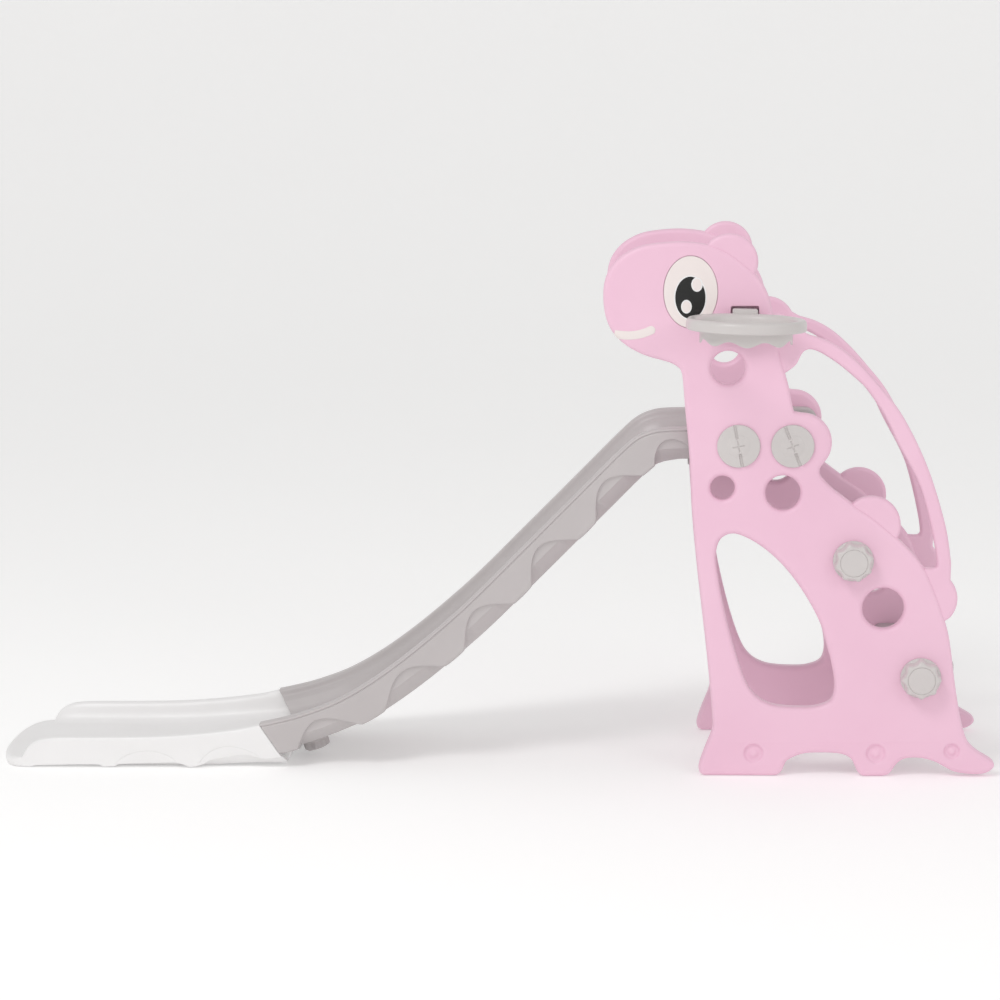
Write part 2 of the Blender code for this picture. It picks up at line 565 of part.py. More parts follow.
# ---------------------------------------------------------------- chute
def chute_line():
    """The rail top's line in the (x, z) plane, from the platform down to the joint."""
    drop = RAIL_TOP - JOINT_TOP
    line = [(PLATFORM_FRONT - TOUCH - u * UPPER_RUN, JOINT_TOP + v * drop) for u, v in CHUTE_LINE]
    return np.array(smooth(line, 0.01, closed=False))


def even_steps(line, spacing):
    """Resample a line at equal distances; gives the points, their tangents and their distances."""
    gone = np.concatenate([[0], np.cumsum(np.linalg.norm(np.diff(line, axis=0), axis=1))])
    s = np.linspace(0, gone[-1], int(round(gone[-1] / spacing)) + 1)
    points = np.stack([np.interp(s, gone, line[:, k]) for k in (0, 1)], 1)
    tangents = np.gradient(points, axis=0)
    return points, tangents / np.linalg.norm(tangents, axis=1)[:, None], s


def lobe_places(length):
    """Distances down the rail at which a lobe hangs, counted back from one period beyond the joint's lobe."""
    places = [length - JOINT_LOBE - BEND_PERIOD * k for k in range(-1, BEND_LOBES + 1)]
    while places[-1] > 0:
        places.append(places[-1] - WAVE_PERIOD)
    return places[::-1]


def wave_depth(s, places):
    """Depth of the side's lower edge: round arches with short lobes hanging between them."""
    after = int(np.clip(np.searchsorted(places, s), 1, len(places) - 1))
    low, high = places[after - 1], places[after]
    half_arch = (high - low - LOBE_WIDTH) / 2
    u = abs(s - (low + high) / 2)
    if u < half_arch:
        rise = math.cos(math.pi * u / half_arch / 2) ** ARCH_POWER
        return CHUTE_DEPTH - (CHUTE_DEPTH - WAVE_TOP) * rise
    return CHUTE_DEPTH + LOBE_HANG * math.sin((u - half_arch) / LOBE_WIDTH * math.pi)


def chute_section(wave):
    """Half of the grey chute's section as (y, depth), from under the middle round the rail to the bed."""
    w = CHUTE_HALF
    in_wall = w - WAVE_RELIEF
    wall_end = CHUTE_DEPTH - RECESS_STOP
    deep = min(max(wave + 0.002, wall_end), CHUTE_DEPTH - 0.0005)
    back = in_wall + (UNDER_HALF - in_wall) * (deep - wall_end) / RECESS_STOP
    lower = [(UNDER_HALF, CHUTE_DEPTH), (back, deep), (in_wall, wave + 0.0005), (w, wave)]
    rail = RAIL_PROFILE + tuple((inward, share * BED_DEPTH) for inward, share in RAIL_SLOPE)
    return lower + [(w - inward, depth) for inward, depth in rail] + [(w - BED_INSET, BED_DEPTH)]


def mirrored(half_section):
    """Both halves of a section as one ring."""
    return [(-y, d) for y, d in half_section] + [(y, d) for y, d in reversed(half_section)]


def knob_sockets(holder):
    """The two holes for the chute knobs' shafts, through the tongue and into the grey chute."""
    sockets = bmesh.new()
    reach = TONGUE_THICKNESS + KNOB_GRIP + BORE_SPARE
    for side in SIDES.values():
        place = knob_place(side)
        outline = circle((0, 0), KNOB_SHAFT + SLIP)
        loft([[place @ Vector((x, y, z)) for x, y in outline] for z in (-CUT_PAST, reach)], sockets)
    return new_object("knob_sockets", sockets, GREY, holder, guide=True)


def chute_stations():
    """The grey chute's cross-sections: their places, directions, distances and shares of the rake."""
    points, tangents, s = even_steps(chute_line(), SWEEP_STEP)
    fade = np.clip((s - s[-1]) / RAKE_LENGTH + 1, 0, 1)
    return points, tangents, s, fade * fade * (3 - 2 * fade)


def below_rail(place, along, share, depth):
    """The (x, z) point at a depth below the rail, in a section turned by its share of the rake."""
    back = share * JOINT_RAKE * depth
    return place[0] - along[0] * back - along[1] * depth, place[1] - along[1] * back + along[0] * depth


def upper_chute(sockets, holder):
    """The grey half: a channel swept down the rail's line, with wavy sides and a raked lower end."""
    points, tangents, s, shares = chute_stations()
    places = lobe_places(s[-1])
    rings = []
    for place, along, here, share in zip(points, tangents, s, shares):
        ring = []
        for y, depth in mirrored(chute_section(wave_depth(here, places))):
            x, z = below_rail(place, along, share, depth)
            ring.append((x, y, z))
        rings.append(ring)
    chute = new_object("upper_chute", loft(rings), GREY, holder)
    boolean(chute, sockets, 'DIFFERENCE')


def underside(back):
    """A point on the grey chute's underside, `back` metres behind the joint, and the slope there."""
    points, tangents, _, shares = chute_stations()
    below = np.array([below_rail(*section, CHUTE_DEPTH) for section in zip(points, tangents, shares)])
    order = np.argsort(below[:, 0])
    x = JOINT_X + back
    z, beyond = np.interp((x, x + 0.01), below[order, 0], below[order, 1])
    return x, float(z), math.atan((beyond - z) / 0.01)


def seat_line(start, end):
    """The underside from one distance behind the joint to another, with a point at each section."""
    points, tangents, _, shares = chute_stations()
    backs = [below_rail(*section, CHUTE_DEPTH)[0] - JOINT_X for section in zip(points, tangents, shares)]
    return [underside(back) for back in [start] + sorted(b for b in backs if start < b < end) + [end]]


def joint_lean():
    """How far the joint's face leans back for each metre that it drops."""
    tx, tz = even_steps(chute_line(), SWEEP_STEP)[1][-1]
    return (-tx * JOINT_RAKE - tz) / (tz * JOINT_RAKE - tx)


def knob_place(side):
    """Where a knob's head meets the tongue: local +Z points up its shaft into the chute."""
    x, z, slope = underside(KNOB_BACK)
    gap = TONGUE_THICKNESS + 3 * TOUCH
    turn = Matrix.Rotation(-slope, 4, 'Y')
    return Matrix.Translation((x, side * KNOB_Y, z)) @ turn @ Matrix.Translation((0, 0, -gap))


def lower_section(out):
    """Half of the white chute's section, `out` metres beyond the joint, as (y, height)."""
    w = LOWER_HALF
    top, fall, hem = (float(np.interp(out / LOWER_RUN, *np.transpose(heights)))
                      for heights in (LOWER_TOPS, LOWER_BEDS, LOWER_HEMS))
    bed = LOWER_BED + fall * (JOINT_TOP - BED_DEPTH - LOWER_BED)
    top = max(top * (JOINT_TOP - LOWER_SILL), bed + LOWER_STEP)
    hem *= bed
    wall = top - bed
    return [(w - 0.020, 0.0), (w - 0.007, hem), (w, hem), (w, top - min(0.006, wall / 2)),
            (w - 0.002, top - 0.001), (w - 0.006, top), (w - 0.014, top - 0.0005),
            (w - 0.020, top - 0.2 * wall), (w - 0.030, top - 0.75 * wall), (w - 0.050, bed)]


def lower_chute(sockets, holder):
    """The white half: a run-out channel, its rounded nose, and the joint's heel and tongue."""
    lean = joint_lean()
    outs = sorted({round(share * LOWER_RUN, 4) for share, _ in LOWER_TOPS + LOWER_HEMS}
                  | set(np.round(np.arange(LOWER_SPACING, LOWER_RUN - LOWER_SPACING, LOWER_SPACING), 4)))
    rings = []
    for out in outs:
        share = max(0.0, 1 - out / TURN_BACK) ** 2
        rings.append([(JOINT_X - JOINT_GAP - out + share * lean * (JOINT_TOP - z), y, z)
                      for y, z in mirrored(lower_section(out))])
    chute = new_object("lower_chute", loft(rings), WHITE, holder)

    end = JOINT_X - JOINT_GAP - outs[-1]
    front = np.radians(np.linspace(-90, 90, ROUND_STEPS + 1))
    plan = [(end - NOSE_LENGTH * math.cos(a), LOWER_HALF * math.sin(a)) for a in front]
    plan = [(end + NOSE_LAP, -LOWER_HALF)] + plan + [(end + NOSE_LAP, LOWER_HALF)]
    small = inset(plan, NOSE_ROUND)
    levels = ((0.0, small), (NOSE_ROUND, plan), (LOWER_BED - NOSE_ROUND, plan),
              (LOWER_BED - 0.0005, small))
    nose = loft([[(x, y, z) for x, y in outline] for z, outline in levels])
    boolean(chute, new_object("lower_chute_nose", nose, WHITE, holder, guide=True), 'UNION')

    seats = seat_line(*HEEL_SPAN)
    (front_x, front_z, _), (end_x, end_z, _) = seats[0], seats[-1]
    heel = [(front_x - HEEL_LAP, HEEL_FOOT), (front_x - HEEL_LAP, (front_z + HEEL_FOOT) / 2)]
    heel += [(x, z - TOUCH) for x, z, _ in seats]
    heel += [(end_x + out, HEEL_FOOT + share * (end_z - HEEL_FOOT)) for out, share in HEEL_END]
    solid = slab(heel, -HEEL_HALF, HEEL_HALF)
    boolean(chute, new_object("lower_chute_heel", solid, WHITE, holder, guide=True), 'UNION')

    seats = seat_line(*TONGUE_SPAN)
    tongue = [(x, z - 2 * TOUCH) for x, z, _ in seats]
    tongue += [(x + math.sin(slope) * TONGUE_THICKNESS, z - math.cos(slope) * TONGUE_THICKNESS)
               for x, z, slope in reversed(seats)]
    half = KNOB_Y + KNOB_RADIUS
    boolean(chute, new_object("lower_chute_tongue", slab(tongue, -half, half), WHITE, holder, guide=True),
            'UNION')
    boolean(chute, sockets, 'DIFFERENCE')


def knob(name, side, holder):
    """A lobed hand screw under the joint that clamps the tongue to the grey chute."""
    lobes = KNOB_RADIUS - NUT_LOBE
    grip = TONGUE_THICKNESS + KNOB_GRIP
    profile = [(0, -KNOB_HEIGHT, 0), (KNOB_DISC, -KNOB_HEIGHT, 0), (lobes - 0.005, -KNOB_HEIGHT, 0.6),
               (lobes, -KNOB_HEIGHT + 0.006, 1), (lobes, -NUT_FLANGE, 1),
               (KNOB_RADIUS, -NUT_FLANGE + 0.001, 0), (KNOB_RADIUS, -TOUCH, 0), (KNOB_SHAFT, -TOUCH, 0),
               (KNOB_SHAFT, grip - 0.001, 0), (KNOB_SHAFT - 0.001, grip, 0), (0, grip, 0)]
    piece = new_object(name, turned(profile, lobe_height), GREY, holder)
    piece.matrix_local = knob_place(side)


# ---------------------------------------------------------------- ball hoop
def hoop(holder):
    """A round rim with a scalloped skirt below, and a flat tab that pushes into the panel's slot."""
    steps = SKIRT_WAVES * 6
    top = HOOP_TOP
    low = top - HOOP_RIM_HEIGHT
    inner = HOOP_RADIUS - HOOP_RIM
    skirt_inner = SKIRT_RADIUS - SKIRT_WALL
    centre = Vector((HOOP_X, -SLIDE_WIDTH / 2 - HOOP_STANDOFF - HOOP_RADIUS, 0))
    shape = bmesh.new()
    rings = []
    for i in range(steps):
        a = 2 * math.pi * i / steps
        hem = low - SKIRT_DROP + SKIRT_WAVE * (1 - math.cos(SKIRT_WAVES * a))
        rim = ((HOOP_RADIUS, low + 0.003), (HOOP_RADIUS, top - 0.006), (HOOP_RADIUS - 0.004, top - 0.001),
               (HOOP_RADIUS - 0.008, top), (inner + 0.004, top - 0.001), (inner, top - 0.005),
               (inner - 0.001, low + 0.004))
        skirt = ((skirt_inner, low), (skirt_inner, hem), (SKIRT_RADIUS, hem), (SKIRT_RADIUS, low),
                 (HOOP_RADIUS - 0.003, low))
        rings.append([shape.verts.new((centre.x + r * math.cos(a), centre.y + r * math.sin(a), z))
                      for r, z in rim + skirt])
    for one, two in zip(rings, rings[1:] + rings[:1]):
        for k in range(len(one)):
            m = (k + 1) % len(one)
            shape.faces.new((one[k], one[m], two[m], two[k]))
    ring = new_object("hoop", shape, PALE_GREY, holder)
    face = -SLIDE_WIDTH / 2
    tab = rounded_box((HOOP_X - TAB_WIDTH / 2, TAB_BOTTOM), (HOOP_X + TAB_WIDTH / 2, TAB_TOP), CORNER, 1)
    bracket = slab(tab, face - HOOP_STANDOFF - HOOP_RIM * 0.6, face + TAB_DEPTH)
    boolean(ring, new_object("hoop_tab", bracket, PALE_GREY, holder, guide=True), 'UNION')
    pivot = Matrix.Translation((HOOP_X, 0, TAB_TOP - 0.012))
    lean = pivot @ Matrix.Rotation(math.radians(HOOP_LEAN), 4, 'Y') @ pivot.inverted()
    for piece in (ring, bpy.data.objects["hoop_tab"]):
        piece.matrix_local = lean


# ---------------------------------------------------------------- whole slide
def stand_at_origin(holder):
    """Shift everything so that the middle of the slide's box stands over the origin."""
    bpy.context.view_layer.update()
    graph = bpy.context.evaluated_depsgraph_get()
    low, high = np.full(3, 1e9), np.full(3, -1e9)
    for thing in bpy.context.scene.objects:
        if thing.type != 'MESH' or thing.hide_render:
            continue
        finished = thing.evaluated_get(graph)
        mesh = finished.to_mesh()
        coords = np.array([tuple(thing.matrix_world @ v.co) for v in mesh.vertices])
        finished.to_mesh_clear()
        low, high = np.minimum(low, coords.min(0)), np.maximum(high, coords.max(0))
    holder.location = (-(low[0] + high[0]) / 2, -(low[1] + high[1]) / 2, -low[2])


def main():
    for thing in list(bpy.data.objects):
        bpy.data.objects.remove(thing, do_unlink=True)
    holder = bpy.data.objects.new("slide_frame", None)
    bpy.context.scene.collection.objects.link(holder)
    for word, side in SIDES.items():
        side_panel(f"side_panel_{word}", side, holder)
        face_pieces(word, side, holder)
        for name, centre in TREADS.items():
            hand_nut(f"{name}_nut_{word}", centre, side, holder)
        for x, lean, place in zip(SCREW_AXES, SCREW_LEAN, ("front", "rear")):
            slotted_screw(f"platform_screw_{place}_{word}", x, lean, side, holder)
        knob(f"chute_knob_{word}", side, holder)
    for name, centre in TREADS.items():
        tread(name, centre, holder)
    platform(holder)
    sockets = knob_sockets(holder)
    upper_chute(sockets, holder)
    lower_chute(sockets, holder)
    hoop(holder)
    stand_at_origin(holder)


main()
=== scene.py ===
# %% [markdown]
# # Toddler slide
#
# The slide is a toy made of a few large plastic mouldings. Its two sides are hollow animals, blown in one
# mould, and a two-part chute, a platform and two treads sit between them. This lesson gives the finished look
# to a working model that already has the right sizes and joints. That model is loaded first and never moved.
# Every surface below is worked out with numpy and takes its place from the loaded model.

# %% Load the fixed frame
import json
import math

import bmesh
import bpy
import numpy as np
from mathutils import Matrix, Vector
from mathutils.geometry import tessellate_polygon


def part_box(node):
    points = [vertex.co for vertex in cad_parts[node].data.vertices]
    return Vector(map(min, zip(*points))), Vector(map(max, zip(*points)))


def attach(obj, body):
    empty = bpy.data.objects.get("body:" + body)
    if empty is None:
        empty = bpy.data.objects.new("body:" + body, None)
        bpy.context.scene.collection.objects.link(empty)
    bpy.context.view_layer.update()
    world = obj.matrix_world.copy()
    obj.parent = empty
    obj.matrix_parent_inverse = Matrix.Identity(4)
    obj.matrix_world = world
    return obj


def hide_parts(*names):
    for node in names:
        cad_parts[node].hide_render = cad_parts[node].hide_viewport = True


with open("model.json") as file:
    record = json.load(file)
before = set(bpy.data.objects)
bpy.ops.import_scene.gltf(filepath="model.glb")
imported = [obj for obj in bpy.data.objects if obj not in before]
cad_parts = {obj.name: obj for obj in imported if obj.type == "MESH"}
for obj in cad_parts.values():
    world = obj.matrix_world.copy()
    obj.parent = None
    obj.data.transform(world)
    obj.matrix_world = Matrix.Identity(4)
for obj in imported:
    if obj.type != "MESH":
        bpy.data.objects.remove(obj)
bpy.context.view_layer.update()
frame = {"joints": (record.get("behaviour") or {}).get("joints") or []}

# %% [markdown]
# ## Where the pieces are
#
# A maker draws the side panel on a sheet of its own, with the zero point between the feet. The loaded model
# stands with the middle of the whole slide over the origin, so one shift carries drawing places to model
# places. The hand nut of the upper tread is at a known point of the drawing, and its joint says where that is.

# %% Shift from the drawing to the model
JOINTS = {joint["child"]: joint for joint in frame["joints"]}
UPPER_TREAD = (0.207, 0.3905)
LOWER_TREAD = (0.328, 0.180)

left_nut = JOINTS["upper_tread_nut_left"]["pos_m"]
right_nut = JOINTS["upper_tread_nut_right"]["pos_m"]
PLACE = np.array([left_nut[0] - UPPER_TREAD[0], (left_nut[1] + right_nut[1]) / 2, 0.0])

SLIDE_HALF = (right_nut[1] - left_nut[1]) / 2
panel_low, panel_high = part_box("side_panel_left")
PANEL = panel_high[1] - panel_low[1]
INNER = SLIDE_HALF - PANEL
SIDES = {"left": -1, "right": 1}
TOUCH = 0.0004             # gap between two pieces that touch
print("half width", round(SLIDE_HALF, 4), "panel", round(PANEL, 4), "shift", PLACE.round(4))

# %% [markdown]
# ## Tools for curves
#
# The mould maker works with a few points and a bending lath, which runs smoothly through all of them.
# The computed form of a lath is a Catmull-Rom curve. Its points are then laid out again at even distances, so
# that the mesh has cells of one size.

# %% Curves and loops
def evenly(line, spacing, closed=False):
    """Points at equal distances along a polyline: distances are summed up and interpolated between."""
    line = np.asarray(line, float)
    if closed:
        line = np.vstack([line, line[:1]])
    gone = np.concatenate([[0], np.cumsum(np.linalg.norm(np.diff(line, axis=0), axis=1))])
    count = max(2, int(round(gone[-1] / spacing)) + 1)
    here = np.linspace(0, gone[-1], count)
    points = np.stack([np.interp(here, gone, line[:, k]) for k in range(line.shape[1])], 1)
    return points[:-1] if closed else points


def lath(points, closed=False, steps=12):
    """Cubic spans through the points; each slope is the chord of its neighbours, shared by their lengths."""
    p = np.asarray(points, float)
    if closed:
        a, b, c, d = np.roll(p, 1, 0), p, np.roll(p, -1, 0), np.roll(p, -2, 0)
    else:
        padded = np.vstack([p[:1], p, p[-1:]])
        a, b, c, d = padded[:-3], padded[1:-2], padded[2:-1], padded[3:]
    before, chord, after = (np.maximum(np.linalg.norm(q, axis=1), 1e-9)[:, None] for q in (b - a, c - b, d - c))
    start = np.where(before > 1e-8, (c - a) * chord / (chord + before), c - b)
    end = np.where(after > 1e-8, (d - b) * chord / (chord + after), c - b)
    t = (np.arange(steps) / steps)[None, :, None]
    start, end, b, c = start[:, None], end[:, None], b[:, None], c[:, None]
    line = b * (2 * t**3 - 3 * t**2 + 1) + start * (t**3 - 2 * t**2 + t) + c * (3 * t**2 - 2 * t**3) \
        + end * (t**3 - t**2)
    line = line.reshape(-1, 2)
    return line if closed else np.vstack([line, p[-1:]])


def arc(circle, start, end, steps=24):
    """Points of a circle ((x, z), radius) from one angle to another, in degrees."""
    (x, z), radius = circle
    angle = np.radians(np.linspace(start, end, steps + 1))
    return np.column_stack([x + radius * np.cos(angle), z + radius * np.sin(angle)])


def ellipse(centre, half, steps=96):
    """A closed oval: centre plus half sizes times cosine and sine."""
    angle = np.arange(steps) / steps * 2 * np.pi
    return np.column_stack([centre[0] + half[0] * np.cos(angle), centre[1] + half[1] * np.sin(angle)])


def rounded_box(low, high, radius, steps=6):
    """A rectangle whose four corners are quarter circles."""
    (x0, z0), (x1, z1) = low, high
    corners = (((x1 - radius, z1 - radius), 0), ((x0 + radius, z1 - radius), 90),
               ((x0 + radius, z0 + radius), 180), ((x1 - radius, z0 + radius), 270))
    return np.vstack([arc((centre, radius), turn, turn + 90, steps) for centre, turn in corners])


print("a test lath has", len(lath([(0, 0), (1, 1), (2, 0)])), "points")

# %% [markdown]
# ## Tools for surfaces
#
# Nearly every edge here is a small cross-section carried round a loop: in from the edge of the flat face,
# round the corner, down the side and round again. Near a sharp tip there is less room for the corner, so
# each point has a room of its own: the largest circle that touches the loop there without crossing it.

# %% Carry a profile round a loop
FLAT_RIM = 0.0012          # a narrow flat ring that keeps the shading of the face straight


def into_material(loop, hole=False):
    """Unit vectors at right angles to the loop that point into the plastic."""
    ahead = np.roll(loop, -1, 0) - np.roll(loop, 1, 0)
    left = np.column_stack([-ahead[:, 1], ahead[:, 0]])
    left /= np.linalg.norm(left, axis=1)[:, None]
    x, z = loop.T
    turn = np.sign(np.sum(x * np.roll(z, -1) - np.roll(x, -1) * z))
    return left * (-turn if hole else turn)


def room_beside(loop, inward):
    """Radius of the circle through each point and its worst neighbour: distance squared over twice the lead."""
    gap = loop[None] - loop[:, None]
    lead = np.sum(gap * inward[:, None], -1)
    radius = np.where(lead > 1e-7, np.sum(gap**2, -1) / (2 * np.maximum(lead, 1e-7)), np.inf)
    np.fill_diagonal(radius, np.inf)
    return radius.min(1)


def carry(loop, profile, hole=False):
    """Rows of (x, height, z): the loop moved inwards by the profile's first number, at its second one."""
    profile = np.asarray(profile, float)
    inward = into_material(loop, hole)
    share = np.minimum(1.0, 0.8 * room_beside(loop, inward) / max(profile[:, 0].max(), 1e-6))
    share = np.minimum.reduce([np.roll(share, k) for k in range(-2, 3)])
    share = np.mean([np.roll(share, k) for k in range(-3, 4)], axis=0)
    flat = loop[None] + inward[None] * (profile[:, 0, None, None] * share[None, :, None])
    height = np.broadcast_to(profile[:, 1, None], flat.shape[:2])
    return np.dstack([flat[..., 0], height, flat[..., 1]])


def rounding(radius, steps=6):
    """A quarter circle from the face to the side, as (distance in from the edge, distance below the face)."""
    angle = np.linspace(0, np.pi / 2, steps + 1)
    return np.column_stack([radius * (1 - np.sin(angle)), radius * (1 - np.cos(angle))])


def edge_profile(half, radius, ridge=0.0):
    """From one face over the edge to the other face; a ridge is the mould's parting line."""
    top = np.vstack([[radius + FLAT_RIM, 0.0], rounding(radius)])
    top = np.column_stack([top[:, 0], half - top[:, 1]])
    parting = np.array([[0, 2 * ridge], [-ridge, 0], [0, -2 * ridge]]) if ridge else np.zeros((0, 2))
    return np.vstack([top, parting, top[::-1] * (1, -1)])


# %% Shells: rows of points with faces between them
def sheet(rows, wrap=True):
    """Quads from each row of points to the next; `wrap` joins the last column to the first."""
    count, columns = rows.shape[:2]
    row, column = np.meshgrid(np.arange(count - 1), np.arange(columns if wrap else columns - 1), indexing="ij")
    beside = (column + 1) % columns
    quads = np.stack([row * columns + column, row * columns + beside,
                      (row + 1) * columns + beside, (row + 1) * columns + column], -1)
    return rows.reshape(-1, 3), quads.reshape(-1, 4)


def flat_cap(loops, axes=(0, 2)):
    """Triangles that fill the first loop and leave the others open."""
    outlines = [[Vector(point) for point in np.pad(loop[:, axes], ((0, 0), (0, 1))).tolist()] for loop in loops]
    return np.vstack(loops), np.array(tessellate_polygon(outlines))


LIP = ((0.0092, 0), (0.0078, 0.0001), (0.0062, 0.0005), (0.0046, 0.0012), (0.0031, 0.0022), (0.0019, 0.0034),
       (0.0010, 0.0048), (0.0003, 0.0063), (0, 0.0080))


def lip_profile(half):
    """A soft lip on both faces, as (distance in from the hole, height)."""
    top = np.array(LIP)
    top = np.column_stack([top[:, 0], half - top[:, 1]])
    return np.vstack([[0.0104, half], top, top[::-1] * (1, -1), [0.0104, -half]])


def slab(outline, half, radius, holes=(), pockets=(), ridge=0.0):
    """A plate of (x, height, z) points with round edges, round-lipped holes and shaped pockets."""
    side = carry(outline, edge_profile(half, radius, ridge))
    walls = [carry(hole, lip_profile(half), hole=True) for hole in holes]
    shells = [sheet(rows) for rows in [side, *walls, *pockets]]
    front = [side[0]] + [rows[0] for rows in walls] + [rows[0] for rows in pockets]
    rear = [side[-1]] + [rows[-1] for rows in walls]
    floors = [flat_cap([rows[-1]]) for rows in pockets if np.ptp(rows[-1][:, 0]) > 1e-6]
    return shells + floors + [flat_cap(front), flat_cap(rear)]


def moved(shells, change):
    """The same shells with their points changed by a function."""
    return [(change(points), faces) for points, faces in shells]


# %% A finished piece
WELD = 1e-6
SHARP = math.radians(40)


def finished_piece(name, shells, slot, body="root", node=None):
    """Join shells into one mesh, weld their seams, point every face outwards and let it ride on its body."""
    starts = np.cumsum([0] + [len(points) for points, _ in shells])
    faces = [face for (_, part), start in zip(shells, starts) for face in (np.asarray(part) + start).tolist()]
    points = np.vstack([points for points, _ in shells]) + PLACE
    mesh = bpy.data.meshes.new(name)
    mesh.from_pydata(points.tolist(), [], faces)
    shape = bmesh.new()
    shape.from_mesh(mesh)
    bmesh.ops.remove_doubles(shape, verts=shape.verts, dist=WELD)
    bmesh.ops.recalc_face_normals(shape, faces=shape.faces)
    open_edges = sum(not edge.is_manifold for edge in shape.edges)
    shape.to_mesh(mesh)
    shape.free()
    mesh.shade_smooth()
    mesh.set_sharp_from_angle(angle=SHARP)
    piece = bpy.data.objects.new(name, mesh)
    bpy.context.scene.collection.objects.link(piece)
    mesh.materials.append(PLASTICS[slot])
    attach(piece, body)
    if node:
        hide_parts(node)
    print(f"{name}: {sum(len(p.vertices) - 2 for p in mesh.polygons)} triangles, {open_edges} open edges")
    return piece


# %% [markdown]
# ## Moulded plastic
#
# Blow-moulded polyethylene is never quite even. The mould's etched skin leaves a very fine grain, the colour
# is mottled where the pigment mixed unevenly, edges that hands and feet rub get paler, and a little dust
# stays on whatever faces up. Those effects are the same on every colour, so each is one node group.

# %% Node groups for grain, wear and dust
def node(tree, kind, values=None, **settings):
    """Add a node; settings are its own properties and values go to its input sockets."""
    made = tree.nodes.new(kind)
    for key, value in settings.items():
        setattr(made, key, value)
    for key, value in (values or {}).items():
        made.inputs[key].default_value = value
    return made


def new_group(name, inputs, outputs):
    """An empty shader group with named float or colour sockets."""
    tree = bpy.data.node_groups.new(name, "ShaderNodeTree")
    for label, kind, value in inputs:
        tree.interface.new_socket(label, in_out="INPUT", socket_type=kind).default_value = value
    for label, kind in outputs:
        tree.interface.new_socket(label, in_out="OUTPUT", socket_type=kind)
    return tree, tree.nodes.new("NodeGroupInput"), tree.nodes.new("NodeGroupOutput")


FLOAT, COLOUR = "NodeSocketFloat", "NodeSocketColor"


def mould_grain():
    """Fine etched grain as a height, and a slow mottling of the pigment."""
    tree, given, out = new_group("mould_grain", [("Grain Scale", FLOAT, 900.0), ("Mottle Scale", FLOAT, 7.0)],
                                 [("Height", FLOAT), ("Mottle", FLOAT)])
    where = node(tree, "ShaderNodeTexCoord")
    fine = node(tree, "ShaderNodeTexNoise", {"Detail": 2.0, "Roughness": 0.6})
    slow = node(tree, "ShaderNodeTexNoise", {"Detail": 3.0, "Roughness": 0.5})
    tree.links.new(where.outputs["Object"], fine.inputs["Vector"])
    tree.links.new(where.outputs["Object"], slow.inputs["Vector"])
    tree.links.new(given.outputs["Grain Scale"], fine.inputs["Scale"])
    tree.links.new(given.outputs["Mottle Scale"], slow.inputs["Scale"])
    tree.links.new(fine.outputs["Fac"], out.inputs["Height"])
    tree.links.new(slow.outputs["Fac"], out.inputs["Mottle"])
    return tree


def edge_wear():
    """A mask of rubbed edges: how sharply the surface bends outwards, broken up by noise."""
    tree, given, out = new_group("edge_wear", [("Amount", FLOAT, 0.5)], [("Mask", FLOAT)])
    shape = node(tree, "ShaderNodeNewGeometry")
    bend = node(tree, "ShaderNodeMapRange", {"From Min": 0.51, "From Max": 0.60})
    where = node(tree, "ShaderNodeTexCoord")
    patchy = node(tree, "ShaderNodeTexNoise", {"Scale": 40.0, "Detail": 4.0})
    broken = node(tree, "ShaderNodeMath", operation="MULTIPLY")
    scaled = node(tree, "ShaderNodeMath", operation="MULTIPLY")
    tree.links.new(shape.outputs["Pointiness"], bend.inputs["Value"])
    tree.links.new(where.outputs["Object"], patchy.inputs["Vector"])
    tree.links.new(bend.outputs["Result"], broken.inputs[0])
    tree.links.new(patchy.outputs["Fac"], broken.inputs[1])
    tree.links.new(broken.outputs[0], scaled.inputs[0])
    tree.links.new(given.outputs["Amount"], scaled.inputs[1])
    tree.links.new(scaled.outputs[0], out.inputs["Mask"])
    return tree


def settled_dust():
    """A mask of dust: surfaces that face up, in soft patches."""
    tree, given, out = new_group("settled_dust", [("Amount", FLOAT, 0.3)], [("Mask", FLOAT)])
    shape = node(tree, "ShaderNodeNewGeometry")
    split = node(tree, "ShaderNodeSeparateXYZ")
    upward = node(tree, "ShaderNodeMapRange", {"From Min": 0.55, "From Max": 1.0})
    where = node(tree, "ShaderNodeTexCoord")
    patchy = node(tree, "ShaderNodeTexNoise", {"Scale": 14.0, "Detail": 5.0})
    broken = node(tree, "ShaderNodeMath", operation="MULTIPLY")
    scaled = node(tree, "ShaderNodeMath", operation="MULTIPLY")
    tree.links.new(shape.outputs["Normal"], split.inputs["Vector"])
    tree.links.new(split.outputs["Z"], upward.inputs["Value"])
    tree.links.new(where.outputs["Object"], patchy.inputs["Vector"])
    tree.links.new(upward.outputs["Result"], broken.inputs[0])
    tree.links.new(patchy.outputs["Fac"], broken.inputs[1])
    tree.links.new(broken.outputs[0], scaled.inputs[0])
    tree.links.new(given.outputs["Amount"], scaled.inputs[1])
    tree.links.new(scaled.outputs[0], out.inputs["Mask"])
    return tree


GRAIN, WEAR, DUST = mould_grain(), edge_wear(), settled_dust()
print("shared groups:", [tree.name for tree in (GRAIN, WEAR, DUST)])

# %% [markdown]
# Each plastic mixes three paints: its own colour, a slightly deeper one for the mottling, and a paler one
# for rubbed edges and dust. Roughness follows the mottling, because pigment-rich patches shine less.

